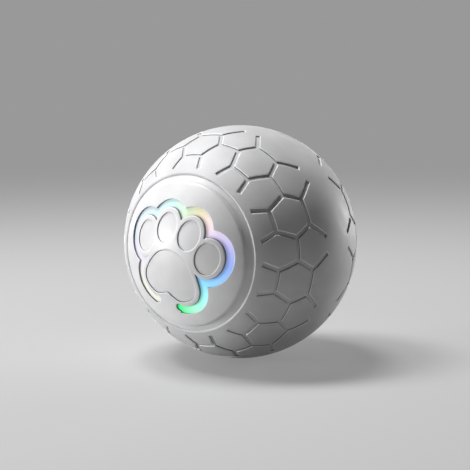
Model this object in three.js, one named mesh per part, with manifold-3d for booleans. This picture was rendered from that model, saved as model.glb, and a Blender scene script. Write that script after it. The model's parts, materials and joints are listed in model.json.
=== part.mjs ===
// Automatic rolling dog ball. A motor inside drives a hanging weight round the roll axis, so the ball rolls.
// Millimetres, +Z up, origin at the ball's centre. The roll axis is Y, with the paw cap on -Y.
// A latitude is the angle from a cap's pole.
// A longitude runs clockwise from up, seen from outside the paw cap.

import * as THREE from "three";
import { mergeVertices } from "three/addons/utils/BufferGeometryUtils.js";
import Module from "manifold-3d";

const wasm = await Module();
wasm.setup();

// Ball, caps and skin
const ballRadius = 42;
const skinThickness = 2.6;
const shellWall = 2.1;
const clearance = 0.3;
const capEdgeDeg = 37.5;
const treadEdgeDeg = 41.3;
const ringDepth = 0.7;

// Tread net: ten columns of hexagons in each half, joined by links, with open stubs towards cap and equator
const treadColumns = 10;
const firstColumnDeg = 31.15;
const grooveWidth = 1.5;
const grooveDepth = 0.9;
const net = {
  capStub: { halfLonDeg: 10.6, latDeg: 45 },
  capEdge: { halfLonDeg: 6.7, latDeg: 53.1 },
  side: { halfLonDeg: 11.8, latDeg: 63 },
  farEdge: { halfLonDeg: 6.65, latDeg: 71.4 },
  farStub: { halfLonDeg: 14.3, latDeg: 81 },
};

// Paw: shares of the ball's radius, in the paw's own upright frame, which is turned on the cap
const pawTurnDeg = 13;
const toeShares = [
  { x: 0.1125, z: 0.216, halfWidth: 0.098, halfHeight: 0.127 },
  { x: -0.1125, z: 0.216, halfWidth: 0.098, halfHeight: 0.127 },
  { x: 0.313, z: 0.078, halfWidth: 0.1025, halfHeight: 0.1345 },
  { x: -0.313, z: 0.078, halfWidth: 0.1025, halfHeight: 0.1345 },
];
const islandCoreShares = { x: 0, z: 0.06, halfWidth: 0.27, halfHeight: 0.15 };
const padTopShare = 0.052;
const padNotchShare = -0.315;
const padSideShares = [
  [0.1235, 0.014],
  [0.19, -0.0575],
  [0.2385, -0.1475],
  [0.26, -0.219],
  [0.2465, -0.2855],
  [0.2015, -0.3295],
  [0.125, -0.3585],
  [0.055, -0.341],
];
const padCentreShare = -0.15;
const dishDepth = 0.55;

// Light strip: a C round the paw, open below
const stripInner = 1.55;
const stripWidth = 2.8;
const stripDepth = 0.5;
const stripEndShares = [0.1155, -0.416];

// Case: each half has a shelf under its cap and a flange at the equator
const lampDepth = 11.4;
const shelfThickness = 1.6;
const frontShelfHole = 13;
const flangeThickness = 2.5;
const flangeWidth = 5.1;
const sealInset = 1.2;
const sealWidth = 0.8;
const sealHeight = 1;

// Screws
const shankRadius = 1;
const headRadius = 1.9;
const headHeight = 1.4;
const bossWall = 1;
const shellScrews = 4;
const firstShellScrewDeg = 45;
const shellScrewInset = 4.5;
const shellScrewSeat = 4;
const shellScrewBite = 6;
const shellBossReach = 18;
const frontBossReach = 9;
const chassisScrewDegs = [90, 193, 295];
const chassisScrewInset = 2.05;
const screwTipGap = 0.5;

// Boards, lights and switch
const boardThickness = 1.2;
const ledSize = 2.8;
const ledHeight = 1.6;
const ledShares = [
  [0, 0.36],
  [0.262, 0.277],
  [-0.262, 0.277],
  [0.31, -0.11],
  [-0.31, -0.11],
  [0.2435, -0.3855],
  [-0.2435, -0.3855],
];
const switchSize = 4.2;
const switchHeight = 3;
const plungerRadius = 1;
const plungerHeight = 0.7;

// Pad button and its spring
const buttonTravel = 0.8;
const buttonLip = 0.9;
const buttonWall = 1;
const buttonRoof = 1.4;
const buttonLipThickness = 0.9;
const stemRadius = 1.6;
const springRadius = 4.2;
const springWireRadius = 0.25;
const springTurns = 5;

// Charging port in the rear cap
const rearLandRadius = 9.2;
const plugWidth = 12.4;
const plugHeight = 6.2;
const plugThickness = 2.2;
const plugSink = 0.2;
const nailNotchRadius = 1.6;
const nailNotchDepth = 1.2;
const collarWall = 1.2;
const portWidth = 8.94;
const portHeight = 3.16;
const portLength = 7.3;
const portWall = 0.3;
const portDepth = 5.5;
const bladeWidth = 6.7;
const bladeThickness = 0.7;
const bladeSink = 1.5;
const noseBite = 1;
const portBoardWidth = 28;
const portBoardHeight = 12;
const portScrewX = 10.9;
const portBossHeight = 2;

// Chassis, cell and main board
const chassisPlate = 3;
const cellRadius = 8.25;
const wallThickness = 1.8;
const axleBossRadius = 2.75;
const axleBossLength = 5;
const leadLane = 2.65;
const plateScrewInset = 2.5;
const plateScrewOut = 0.45;
const plateBossLength = 8;
const plateScrewLength = 6;
const pinBossRadius = 2.2;
const pinBossLength = 7;
const mainBoardWidth = 26;
const mainBoardInset = 2.5;
const postHeight = 1.65;
const postSize = 3;
const chipSize = 6;
const chipHeight = 1.2;

// Motor and gears: pinion, idler wheel and pinion, output wheel
const motorWidth = 12;
const motorDepth = 10;
const motorLength = 15;
const motorShaftRadius = 0.75;
const motorShaftBite = 3;
const gearPlateThickness = 1.6;
const gearModule = 0.75;
const pinionTeeth = 9;
const wheelTeeth = 20;
const pressureDeg = 25;
const addendumShare = 0.85;
const dedendumShare = 1.2;
const shiftShare = 0.25;
const backlash = 0.14;
const gearGap = 0.4;
const gearWidth = 2.2;
const outputWidth = 2.8;
const pinRadius = 0.9;
const clipThickness = 0.5;
const clipRadius = 2;
const clipGap = 0.2;
const clipRun = 0.1;

// Axle, carrier and weight
const axleRadius = 1.75;
const axleBore = 1.1;
const runningClearance = 0.25;
const spacerRadius = 2.6;
const keyRadius = 3.7;
const keySides = 6;
const carrierThickness = 2;
const carrierHubRadius = 5.5;
const carrierHubStep = 1.4;
const carrierInset = 1.9;
const carrierHalfDeg = 35;
const bushWall = 1.2;
const rearBossHeight = 3;
const weightGap = 2.45;
const weightRim = 1.9;
const weightLength = 29.1;
const weightHalfDeg = 45;
const weightScrewInset = 2.6;
const weightScrewDeg = 22;
const weightScrewBite = 8;

// Leads
const leadRadius = 0.65;
const leadHole = 1.2;
const leadBend = 2.5;
const ledLeadX = 2;
const chargeLeadX = 1.2;
const chargeLeadRun = 6;
const motorLeadRun = 4.2;
const batteryLeadRun = 6.9;

// Mesh fineness, and how far a cutter runs past what it cuts
const roundSides = 30;
const rowDeg = 10.9;
const smallRoundSides = 15;
const boreSides = 12;
const screwSides = 8;
const toeSides = 16;
const padSides = 30;
const arcSteps = 8;
const leadSides = 8;
const leadSteps = 9;
const springSteps = 8;
const springSides = 5;
const overrun = 1;
const mergeDistance = 0.0001;

// Sizes that follow: the case
const skinInner = ballRadius - skinThickness;
const shellOuter = skinInner - clearance;
const shellInner = shellOuter - shellWall;
const gapDeg = THREE.MathUtils.radToDeg(clearance / ballRadius);
const stripOuter = stripInner + stripWidth;
const openingRadius = stripReach() / Math.cos(Math.PI / roundSides);
const shelfOuter = skinInner - lampDepth;
const shelfDistance = shelfOuter - shelfThickness;
const boardOuter = shelfOuter + boardThickness;
const boardRadius = openingRadius - 2 * clearance;
const screwHole = shankRadius + clearance;
const bossRadius = headRadius + clearance + bossWall;
const shellScrewRadius = shellOuter - shellScrewInset;
const guideBack = -(boardOuter + ledHeight + clearance);
const padCentre = padCentreShare * ballRadius;
const rearLandY = Math.sqrt(ballRadius ** 2 - rearLandRadius ** 2);
const plugOuter = rearLandY - plugSink;
const plugSeat = plugOuter - plugThickness;
const portMouth = boardOuter + portLength;

// Sizes that follow: the drive, stacked from the rear shelf forwards, with the cell in the room that is left
const bushFront = shelfDistance - rearBossHeight;
const hubBack = bushFront - clearance;
const carrierBack = hubBack - carrierHubStep;
const carrierFront = carrierBack - carrierThickness;
const pinBack = carrierFront - gearGap;
const clipBack = pinBack - clipRun;
const clipFront = clipBack - clipThickness;
const stageTwoBack = clipFront - clipGap;
const stageTwoFront = stageTwoBack - outputWidth;
const stageOneBack = stageTwoFront - clearance;
const stageOneFront = stageOneBack - gearWidth;
const plateBack = stageOneFront - gearGap;
const plateFront = plateBack - gearPlateThickness;
const cellBack = plateFront - clearance;
const chassisFront = -shelfDistance;
const cellFront = chassisFront + chassisPlate + clearance;
const axleFront = plateFront - axleBossLength + clearance;
const axleBack = shelfOuter - 2 * clearance;

// Sizes that follow: what lies beside the axle
const cellX = -(axleBossRadius + clearance + cellRadius);
const motorX = axleBossRadius + leadLane + motorDepth / 2;
const chassisRadius = cellRadius - cellX;
const wallInner = cellRadius + clearance;
const wallOuter = wallInner + wallThickness;
const boardZ = wallOuter + postHeight;
const boardFront = cellFront + mainBoardInset;
const boardBack = plateFront - plateBossLength - clearance;
const gearDistance = (gearModule * (pinionTeeth + wheelTeeth)) / 2;
const idlerX = motorX / 2;
const idlerZ = Math.sqrt(gearDistance ** 2 - idlerX ** 2);
const weightBack = carrierFront - clearance;
const weightFront = weightBack - weightLength;
const weightInner = chassisRadius + weightGap;
const weightRoom = Math.min(shellScrewRadius - bossRadius, Math.sqrt(shellInner ** 2 - weightBack ** 2));
const weightOuter = weightRoom - weightRim;
const carrierReach = weightOuter - carrierInset;

const group = new THREE.Group();

// Solids: a closed geometry becomes a solid, and a solid becomes a named mesh

function toSolid(geometry) {
  const bare = geometry.clone();
  bare.deleteAttribute("normal");
  bare.deleteAttribute("uv");
  const merged = mergeVertices(bare, mergeDistance);
  const corners = merged.index.array;
  const kept = [];
  for (let i = 0; i < corners.length; i += 3) {
    const [a, b, c] = corners.slice(i, i + 3);
    if (a !== b && b !== c && c !== a) kept.push(a, b, c);
  }
  const vertProperties = merged.getAttribute("position").array;
  const triVerts = new Uint32Array(kept);
  return new wasm.Manifold(new wasm.Mesh({ numProp: 3, vertProperties, triVerts }));
}

function addPiece(name, solid, look) {
  const made = solid.getMesh();
  const geometry = new THREE.BufferGeometry();
  geometry.setAttribute("position", new THREE.BufferAttribute(made.vertProperties, 3));
  geometry.setIndex(new THREE.BufferAttribute(made.triVerts, 1));
  geometry.computeVertexNormals();
  const mesh = new THREE.Mesh(geometry, new THREE.MeshStandardMaterial(look));
  mesh.name = name;
  group.add(mesh);
}

function joined(solids) {
  return solids.reduce((whole, solid) => whole.add(solid));
}

function cutBy(solid, cutters) {
  return cutters.reduce((rest, cutter) => rest.subtract(cutter), solid);
}

// Basic shapes, all standing along Y

function rod(x, z, radius, yLow, yHigh, sides = boreSides) {
  const geometry = new THREE.CylinderGeometry(radius, radius, yHigh - yLow, sides);
  return toSolid(geometry.translate(x, (yLow + yHigh) / 2, z));
}

function block(xLow, xHigh, yLow, yHigh, zLow, zHigh) {
  const geometry = new THREE.BoxGeometry(xHigh - xLow, yHigh - yLow, zHigh - zLow);
  return toSolid(geometry.translate((xLow + xHigh) / 2, (yLow + yHigh) / 2, (zLow + zHigh) / 2));
}

// A closed outline of [x, z] points, run from yLow to yHigh
function prism(outline, yLow, yHigh) {
  const shape = new THREE.Shape(outline.map(([x, z]) => new THREE.Vector2(x, z)));
  const geometry = new THREE.ExtrudeGeometry(shape, { depth: yHigh - yLow, bevelEnabled: false });
  return toSolid(geometry.rotateX(Math.PI / 2).translate(0, yHigh, 0));
}

// A profile of [radius, y] points turned about the Y axis: it starts and ends on the axis, or is closed here
function turned(profile, sides = roundSides) {
  const points = profile.map(([radius, y]) => new THREE.Vector2(radius, y));
  if (points[0].x > 0) points.push(points[0].clone());
  if (THREE.ShapeUtils.area(points) < 0) points.reverse();
  return toSolid(new THREE.LatheGeometry(points, sides, Math.PI / sides));
}

// The same about an axis that runs along Y through (x, z)
function turnedAt(profile, x, z, sides) {
  const points = profile.map(([radius, y]) => new THREE.Vector2(radius, y));
  if (THREE.ShapeUtils.area(points) < 0) points.reverse();
  return toSolid(new THREE.LatheGeometry(points, sides).translate(x, 0, z));
}

// Points of a meridian of the given radius, between two latitudes, as [radius, y] with y positive at the pole
function meridian(radius, fromDeg, toDeg) {
  const steps = Math.ceil(Math.abs(toDeg - fromDeg) / rowDeg);
  const points = [];
  for (let step = 0; step <= steps; step += 1) {
    const lat = THREE.MathUtils.degToRad(fromDeg + ((toDeg - fromDeg) * step) / steps);
    points.push([radius * Math.sin(lat), radius * Math.cos(lat)]);
  }
  return points;
}

function flipped(profile, side) {
  return profile.map(([radius, y]) => [radius, side * y]);
}

function ballSolid(radius) {
  const profile = meridian(radius, 0, 180);
  profile[0][0] = 0;
  profile[profile.length - 1][0] = 0;
  return turned(profile);
}

function aroundAxis(radius, lonDeg) {
  const lon = THREE.MathUtils.degToRad(lonDeg);
  return [radius * Math.sin(lon), radius * Math.cos(lon)];
}

function onBall(lonDeg, latDeg) {
  const lat = THREE.MathUtils.degToRad(latDeg);
  const [x, z] = aroundAxis(Math.sin(lat), lonDeg);
  return new THREE.Vector3(x, -Math.cos(lat), z);
}

// A screw whose head seats on seatY, with its head on the given side and its tip at tipY
function screw(x, z, seatY, tipY, side) {
  const headY = seatY + side * headHeight;
  const profile = [
    [0, tipY],
    [shankRadius, tipY],
    [shankRadius, seatY],
    [headRadius, seatY],
    [headRadius, headY],
    [0, headY],
  ];
  return turnedAt(profile, x, z, screwSides);
}

// A stadium outline, long along X
function stadium(width, height) {
  const radius = height / 2;
  const reach = width / 2 - radius;
  const outline = [];
  for (const [sign, startDeg] of [[1, -90], [-1, 90]]) {
    for (let step = 0; step <= arcSteps; step += 1) {
      const angle = THREE.MathUtils.degToRad(startDeg + (180 * step) / arcSteps);
      outline.push([sign * reach + radius * Math.cos(angle), radius * Math.sin(angle)]);
    }
  }
  return outline;
}

// Paw outlines, grown outwards by a distance

function turnedOnCap([x, z]) {
  const turn = THREE.MathUtils.degToRad(pawTurnDeg);
  return [x * Math.cos(turn) + z * Math.sin(turn), z * Math.cos(turn) - x * Math.sin(turn)];
}

function toeOutline(toe, grow) {
  const outline = [];
  for (let step = 0; step < toeSides; step += 1) {
    const angle = (2 * Math.PI * step) / toeSides;
    const x = toe.x * ballRadius + (toe.halfWidth * ballRadius + grow) * Math.cos(angle);
    const z = toe.z * ballRadius + (toe.halfHeight * ballRadius + grow) * Math.sin(angle);
    outline.push(turnedOnCap([x, z]));
  }
  return outline;
}

function padOutline(grow) {
  const right = padSideShares.map(([x, z]) => new THREE.Vector3(x, z, 0));
  const left = padSideShares.map(([x, z]) => new THREE.Vector3(-x, z, 0)).reverse();
  const top = new THREE.Vector3(0, padTopShare, 0);
  const notch = new THREE.Vector3(0, padNotchShare, 0);
  const curve = new THREE.CatmullRomCurve3([top, ...right, notch, ...left], true);
  const outline = [];
  for (let step = 0; step < padSides; step += 1) {
    const share = step / padSides;
    const point = curve.getPointAt(share).multiplyScalar(ballRadius);
    const along = curve.getTangentAt(share);
    outline.push(turnedOnCap([point.x - along.y * grow, point.y + along.x * grow]));
  }
  return outline;
}

// How far the light strip's outer edge lies from the ball's axis
function stripReach() {
  const outlines = [...toeShares.map((toe) => toeOutline(toe, stripOuter)), padOutline(stripOuter)];
  return Math.max(...outlines.flat().map(([x, z]) => Math.hypot(x, z)));
}

// The four toes, the pad and what lies between them
function pawSolid(grow, yLow, yHigh) {
  const rounds = [...toeShares, islandCoreShares].map((toe) => prism(toeOutline(toe, grow), yLow, yHigh));
  return joined([...rounds, prism(padOutline(grow), yLow, yHigh)]);
}

// The C of the light strip, made slimmer all round by a gap
function stripSolid(gap, yLow, yHigh) {
  const [endShareX, endShareZ] = stripEndShares;
  const endX = endShareX * ballRadius;
  const endZ = endShareZ * ballRadius;
  const whole = pawSolid(stripOuter - gap, yLow, yHigh);
  const island = pawSolid(stripInner + gap, yLow - overrun, yHigh + overrun);
  const mouth = [[-endX, padCentre], [endX, padCentre], [endX, -ballRadius], [-endX, -ballRadius]];
  const opening = prism(mouth.map(turnedOnCap), yLow - overrun, yHigh + overrun);
  const ends = [endX, -endX].map((x) => {
    const [turnedX, turnedZ] = turnedOnCap([x, endZ]);
    return rod(turnedX, turnedZ, stripWidth / 2 - gap, yLow, yHigh, toeSides);
  });
  return joined([cutBy(whole, [island, opening]), ...ends]);
}

// Tread

// A net point shifted along the ball by [across, along] millimetres, as [lonDeg, latDeg]
function shifted([lonDeg, latDeg], [across, along]) {
  const lonRadius = ballRadius * Math.sin(THREE.MathUtils.degToRad(latDeg));
  return [
    lonDeg + THREE.MathUtils.radToDeg(across / lonRadius),
    latDeg + THREE.MathUtils.radToDeg(along / ballRadius),
  ];
}

// Unit direction on the ball from one net point to another
function heading([lonDeg, latDeg], [toLonDeg, toLatDeg]) {
  const across = (toLonDeg - lonDeg) * Math.sin(THREE.MathUtils.degToRad(latDeg));
  return new THREE.Vector2(across, toLatDeg - latDeg).normalize();
}

// The corner between two grooves that leave a net point, or with side -1 the corner across from it
function mitre(point, pointA, pointB, side = 1) {
  const a = heading(point, pointA);
  const b = heading(point, pointB);
  const reach = (side * grooveWidth) / 2 / Math.abs(a.cross(b));
  return shifted(point, [(a.x + b.x) * reach, (a.y + b.y) * reach]);
}

// The two corners of a groove's square end, right one first
function squareEnd(from, to) {
  const along = heading(from, to);
  const half = grooveWidth / 2;
  return [shifted(to, [along.y * half, -along.x * half]), shifted(to, [-along.y * half, along.x * half])];
}

// Outline and hole of one hexagon of grooves, with its four stubs and its link to the next column
function hexagonOutlines() {
  const points = Object.entries(net).map(([name, { halfLonDeg, latDeg }]) => [name, [halfLonDeg, latDeg]]);
  const { capStub, capEdge, side, farEdge, farStub } = Object.fromEntries(points);
  const mirrored = ([lonDeg, latDeg]) => [-lonDeg, latDeg];
  const nextSide = [360 / treadColumns - side[0], side[1]];
  const arm = (from, to, before, after) => {
    return [mitre(from, before, to), ...squareEnd(from, to), mitre(from, to, after)];
  };
  const top = arm(capEdge, capStub, mirrored(capEdge), side);
  const link = arm(side, nextSide, capEdge, farEdge);
  const foot = arm(farEdge, farStub, side, mirrored(farEdge));
  const plainSide = mitre(side, capEdge, farEdge, -1);
  const left = [...top, plainSide, ...foot].map(mirrored).reverse();
  const inner = [
    mitre(capEdge, mirrored(capEdge), side),
    mitre(side, capEdge, farEdge),
    mitre(farEdge, side, mirrored(farEdge)),
  ];
  return { outline: [...top, ...link, ...foot, ...left], hole: [...inner, ...inner.map(mirrored).reverse()] };
}

// The grooves of one hexagon as a cutter, bent round the ball
function hexagonCutter(columnDeg, isRear) {
  const { outline, hole } = hexagonOutlines();
  const toPlane = ([lonDeg, latDeg]) => {
    return new THREE.Vector2(columnDeg + lonDeg, isRear ? 180 - latDeg : latDeg);
  };
  const inOrder = (points) => (isRear ? points.map(toPlane).reverse() : points.map(toPlane));
  const shape = new THREE.Shape(inOrder(outline));
  shape.holes.push(new THREE.Path(inOrder(hole)));
  const geometry = new THREE.ExtrudeGeometry(shape, { depth: 1, bevelEnabled: false });
  const position = geometry.getAttribute("position");
  for (let i = 0; i < position.count; i += 1) {
    const radius = position.getZ(i) > 0 ? ballRadius + overrun : ballRadius - grooveDepth;
    const point = onBall(position.getX(i), position.getY(i)).multiplyScalar(radius);
    position.setXYZ(i, point.x, point.y, point.z);
  }
  return toSolid(geometry);
}

function makeTreadCover() {
  const outside = meridian(ballRadius, treadEdgeDeg, 180 - treadEdgeDeg);
  const inside = meridian(skinInner, treadEdgeDeg, 180 - treadEdgeDeg).reverse();
  const grooves = [];
  for (let column = 0; column < treadColumns; column += 1) {
    const columnDeg = firstColumnDeg + (360 * column) / treadColumns;
    grooves.push(hexagonCutter(columnDeg, false), hexagonCutter(columnDeg, true));
  }
  const cover = turned([...outside, ...inside]).subtract(joined(grooves));
  addPiece("tread_cover", cover, { color: 0xa9a9ab, roughness: 0.6, metalness: 0 });
}

// Case halves: side is -1 for the half under the paw cap and 1 for the rear half

function shellProfile(shelfHole) {
  const openingDeg = THREE.MathUtils.radToDeg(Math.asin(openingRadius / shellOuter));
  const shelfDeg = THREE.MathUtils.radToDeg(Math.acos(shelfDistance / shellInner));
  const flangeDeg = THREE.MathUtils.radToDeg(Math.acos(flangeThickness / shellInner));
  const ringRadius = ballRadius - ringDepth;
  const profile = [
    ...meridian(shellOuter, 90, treadEdgeDeg - gapDeg),
    ...meridian(ringRadius, treadEdgeDeg - gapDeg, capEdgeDeg + gapDeg),
    ...meridian(shellOuter, capEdgeDeg + gapDeg, openingDeg),
    [openingRadius, shelfOuter],
    [shelfHole, shelfOuter],
    [shelfHole, shelfDistance],
    ...meridian(shellInner, shelfDeg, flangeDeg),
    [shellOuter - flangeWidth, flangeThickness],
    [shellOuter - flangeWidth, 0],
  ];
  profile[0][1] = 0;
  return profile;
}

// A full disc for a shelf: its profile runs from the axis to the axis
function closedShellProfile() {
  const profile = shellProfile(0);
  const start = profile.findIndex(([radius, y]) => radius === 0 && y === shelfDistance);
  return [...profile.slice(start), ...profile.slice(0, start)];
}

function shellScrewPlaces() {
  const places = [];
  for (let i = 0; i < shellScrews; i += 1) {
    places.push(aroundAxis(shellScrewRadius, firstShellScrewDeg + (360 * i) / shellScrews));
  }
  return places;
}

function spanY(side, near, far) {
  return side > 0 ? [near, far] : [-far, -near];
}

function shellBosses(side, reach) {
  const core = ballSolid((shellOuter + shellInner) / 2);
  return shellScrewPlaces().map(([x, z]) => {
    return rod(x, z, bossRadius, ...spanY(side, 0, reach), screwSides).intersect(core);
  });
}

function sealGroove() {
  const outer = shellOuter - sealInset + clearance;
  const inner = shellOuter - sealInset - sealWidth - clearance;
  return turned([[inner, -sealHeight], [outer, -sealHeight], [outer, overrun], [inner, overrun]]);
}

function chassisScrewPlaces() {
  return chassisScrewDegs.map((deg) => aroundAxis(chassisRadius - chassisScrewInset, deg));
}

function makeFrontShell() {
  const half = turned(flipped(shellProfile(frontShelfHole), -1));
  const body = joined([half, ...shellBosses(-1, frontBossReach)]);
  const blind = shellScrewBite + screwTipGap;
  const shellHoles = shellScrewPlaces().map(([x, z]) => rod(x, z, screwHole, -blind, overrun, screwSides));
  const shelfHoles = chassisScrewPlaces().map(([x, z]) => {
    return rod(x, z, screwHole, -shelfOuter - overrun, -shelfDistance + overrun, screwSides);
  });
  const shell = cutBy(body, [sealGroove(), ...shellHoles, ...shelfHoles]);
  addPiece("front_shell", shell, { color: 0xd9d9da, roughness: 0.5, metalness: 0 });
}

function makeRearShell() {
  const bushHole = axleRadius + clearance + bushWall + clearance;
  const axleBoss = rod(0, 0, bushHole + bossWall, bushFront, shelfOuter);
  const bossFoot = shelfDistance - portBossHeight;
  const portBosses = [-portScrewX, portScrewX].map((x) => {
    return rod(x, 0, screwHole + bossWall, bossFoot, shelfDistance + clearance, screwSides);
  });
  const half = turned(closedShellProfile());
  const body = joined([half, ...shellBosses(1, shellBossReach), axleBoss, ...portBosses]);
  const cuts = [rod(0, 0, bushHole, bushFront - overrun, shelfOuter + overrun)];
  for (const [x, z] of shellScrewPlaces()) {
    cuts.push(rod(x, z, screwHole, -overrun, shellScrewSeat + overrun, screwSides));
    cuts.push(rod(x, z, headRadius + clearance, shellScrewSeat, ballRadius, screwSides));
  }
  for (const x of [-portScrewX, portScrewX]) {
    cuts.push(rod(x, 0, screwHole, bossFoot + clearance, shelfOuter + overrun, screwSides));
  }
  addPiece("rear_shell", cutBy(body, cuts), { color: 0xd9d9da, roughness: 0.5, metalness: 0 });
}

function makeShellFasteners() {
  const outer = shellOuter - sealInset;
  const inner = outer - sealWidth;
  const ring = turned([[inner, -sealHeight], [outer, -sealHeight], [outer, 0], [inner, 0]]);
  addPiece("shell_seal_ring", ring, { color: 0x2b2b2d, roughness: 0.8, metalness: 0 });
  shellScrewPlaces().forEach(([x, z], i) => {
    const solid = screw(x, z, shellScrewSeat, -shellScrewBite, 1);
    addPiece(`shell_screw_${i + 1}`, solid, { color: 0x9a9ca0, roughness: 0.35, metalness: 1 });
  });
}

// Caps

function domeSolid(side) {
  const outside = meridian(ballRadius, 0, capEdgeDeg);
  const inside = meridian(skinInner, capEdgeDeg, 0);
  outside[0][0] = 0;
  inside[inside.length - 1][0] = 0;
  return turned(flipped([...outside, ...inside], side));
}

function makePawCap() {
  const low = -ballRadius - overrun;
  const dishFloor = ballSolid(ballRadius - dishDepth);
  const dishes = toeShares.map((toe) => prism(toeOutline(toe, 0), low, 0).subtract(dishFloor));
  const cap = cutBy(domeSolid(-1), [...dishes, prism(padOutline(0), low, 0), stripSolid(0, low, 0)]);
  addPiece("paw_cap", cap, { color: 0xdcdcdd, roughness: 0.45, metalness: 0 });
}

function makeLightGuide() {
  const guide = stripSolid(clearance, -ballRadius, guideBack).intersect(ballSolid(ballRadius - stripDepth));
  addPiece("light_guide", guide, { color: 0xcdf4f2, roughness: 0.3, metalness: 0 });
}

function makePawButton() {
  const lipBack = -Math.sqrt(shellOuter ** 2 - (stripEndShares[1] * ballRadius) ** 2) + buttonLipThickness;
  const roofBack = -ballRadius + dishDepth + skinThickness + buttonRoof;
  const faceBall = ballSolid(ballRadius - dishDepth);
  const face = prism(padOutline(-clearance), -ballRadius, lipBack).intersect(faceBall);
  const lip = prism(padOutline(buttonLip), -ballRadius, lipBack).intersect(ballSolid(shellOuter));
  const hollow = prism(padOutline(-buttonWall), roofBack, 0);
  const [x, z] = turnedOnCap([0, padCentre]);
  const stemBack = -(boardOuter + switchHeight + plungerHeight + buttonTravel + clearance);
  const stem = rod(x, z, stemRadius, roofBack - clearance, stemBack);
  const button = joined([cutBy(joined([face, lip]), [hollow]), stem]);
  addPiece("paw_button", button, { color: 0xdcdcdd, roughness: 0.5, metalness: 0 });
  makeButtonSpring(x, z, roofBack + clearance, -boardOuter - clearance);
}

function makeButtonSpring(x, z, yLow, yHigh) {
  const points = [];
  const steps = springTurns * springSteps;
  for (let step = 0; step <= steps; step += 1) {
    const angle = (2 * Math.PI * step) / springSteps;
    const run = yLow + springWireRadius + ((yHigh - yLow - 2 * springWireRadius) * step) / steps;
    const across = springRadius * Math.cos(angle);
    const up = springRadius * Math.sin(angle);
    points.push(new THREE.Vector3(x + across, run, z + up));
  }
  const coil = tube(points, springWireRadius, springSides, steps);
  addPiece("button_spring", coil, { color: 0xb5b7ba, roughness: 0.3, metalness: 1 });
}

// A round wire or lead along a smooth line
function tube(points, radius, sides, steps) {
  const section = [];
  for (let side = 0; side < sides; side += 1) {
    const angle = (2 * Math.PI * side) / sides;
    section.push(new THREE.Vector2(radius * Math.cos(angle), radius * Math.sin(angle)));
  }
  const extrudePath = new THREE.CatmullRomCurve3(points);
  return toSolid(new THREE.ExtrudeGeometry(new THREE.Shape(section), { steps, extrudePath }));
}

// Lights and switch board behind the paw cap

function makeLedBoard() {
  const holes = chassisScrewPlaces().map(([x, z]) => {
    return rod(x, z, screwHole, -boardOuter - overrun, -shelfOuter + overrun, screwSides);
  });
  const disc = rod(0, 0, boardRadius, -boardOuter, -shelfOuter, roundSides);
  addPiece("led_board", cutBy(disc, holes), { color: 0x1f5b3a, roughness: 0.5, metalness: 0 });
  ledShares.forEach((place, i) => {
    const [x, z] = turnedOnCap(place.map((share) => share * ballRadius));
    const half = ledSize / 2;
    const led = block(x - half, x + half, -boardOuter - ledHeight, -boardOuter, z - half, z + half);
    addPiece(`light_led_${i + 1}`, led, { color: 0xf4f4ee, roughness: 0.4, metalness: 0 });
  });
  const [x, z] = turnedOnCap([0, padCentre]);
  const half = switchSize / 2;
  const body = block(x - half, x + half, -boardOuter - switchHeight, -boardOuter, z - half, z + half);
  const top = -boardOuter - switchHeight;
  const plunger = rod(x, z, plungerRadius, top - plungerHeight, top + clearance);
  addPiece("tact_switch", body.add(plunger), { color: 0x262628, roughness: 0.5, metalness: 0 });
}

// Rear cap, port and plug

function makeRearCap() {
  const collarWidth = plugWidth + 2 * (clearance + collarWall);
  const collarHeight = plugHeight + 2 * (clearance + collarWall);
  const collarFront = portMouth - skinThickness;
  const collar = prism(stadium(collarWidth, collarHeight), collarFront, skinInner);
  const beyondLand = block(-ballRadius, ballRadius, rearLandY, ballRadius + overrun, -ballRadius, ballRadius);
  const seatHole = stadium(plugWidth + 2 * clearance, plugHeight + 2 * clearance);
  const portHole = stadium(portWidth + 2 * clearance, portHeight + 2 * clearance);
  const seatY = plugSeat - clearance;
  const cuts = [
    beyondLand,
    prism(seatHole, seatY, ballRadius),
    prism(portHole, collarFront - overrun, ballRadius),
    rod(plugWidth / 2 + clearance, 0, nailNotchRadius, rearLandY - nailNotchDepth, ballRadius),
  ];
  const cap = cutBy(domeSolid(1).add(collar), cuts);
  addPiece("rear_cap", cap, { color: 0xdcdcdd, roughness: 0.45, metalness: 0 });
}

function makePortPlug() {
  const head = prism(stadium(plugWidth, plugHeight), plugSeat, plugOuter);
  const noseWidth = portWidth - 2 * (portWall + clearance);
  const noseHeight = portHeight - 2 * (portWall + clearance);
  const nose = prism(stadium(noseWidth, noseHeight), portMouth - noseBite, plugSeat + clearance);
  addPiece("port_plug", head.add(nose), { color: 0x8f9092, roughness: 0.75, metalness: 0 });
}

function makePort() {
  const shell = prism(stadium(portWidth, portHeight), boardOuter, portMouth);
  const inside = stadium(portWidth - 2 * portWall, portHeight - 2 * portWall);
  const cavityFloor = portMouth - portDepth;
  const cavity = prism(inside, cavityFloor, portMouth + overrun);
  const halfWidth = bladeWidth / 2;
  const halfBlade = bladeThickness / 2;
  const bladeBack = portMouth - bladeSink;
  const blade = block(-halfWidth, halfWidth, cavityFloor - portWall, bladeBack, -halfBlade, halfBlade);
  const port = shell.subtract(cavity).add(blade);
  addPiece("usb_port", port, { color: 0xb9bbbe, roughness: 0.3, metalness: 1 });
  const holes = [-portScrewX, portScrewX].map((x) => {
    return rod(x, 0, screwHole, shelfOuter - overrun, boardOuter + overrun, screwSides);
  });
  const board = prism(stadium(portBoardWidth, portBoardHeight), shelfOuter, boardOuter);
  addPiece("port_board", cutBy(board, holes), { color: 0x1f5b3a, roughness: 0.5, metalness: 0 });
  [-portScrewX, portScrewX].forEach((x, i) => {
    const tipY = shelfDistance - portBossHeight + clearance + screwTipGap;
    const solid = screw(x, 0, boardOuter, tipY, 1);
    addPiece(`port_board_screw_${i + 1}`, solid, { color: 0x9a9ca0, roughness: 0.35, metalness: 1 });
  });
}

// Chassis with cell, motor and main board

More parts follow.
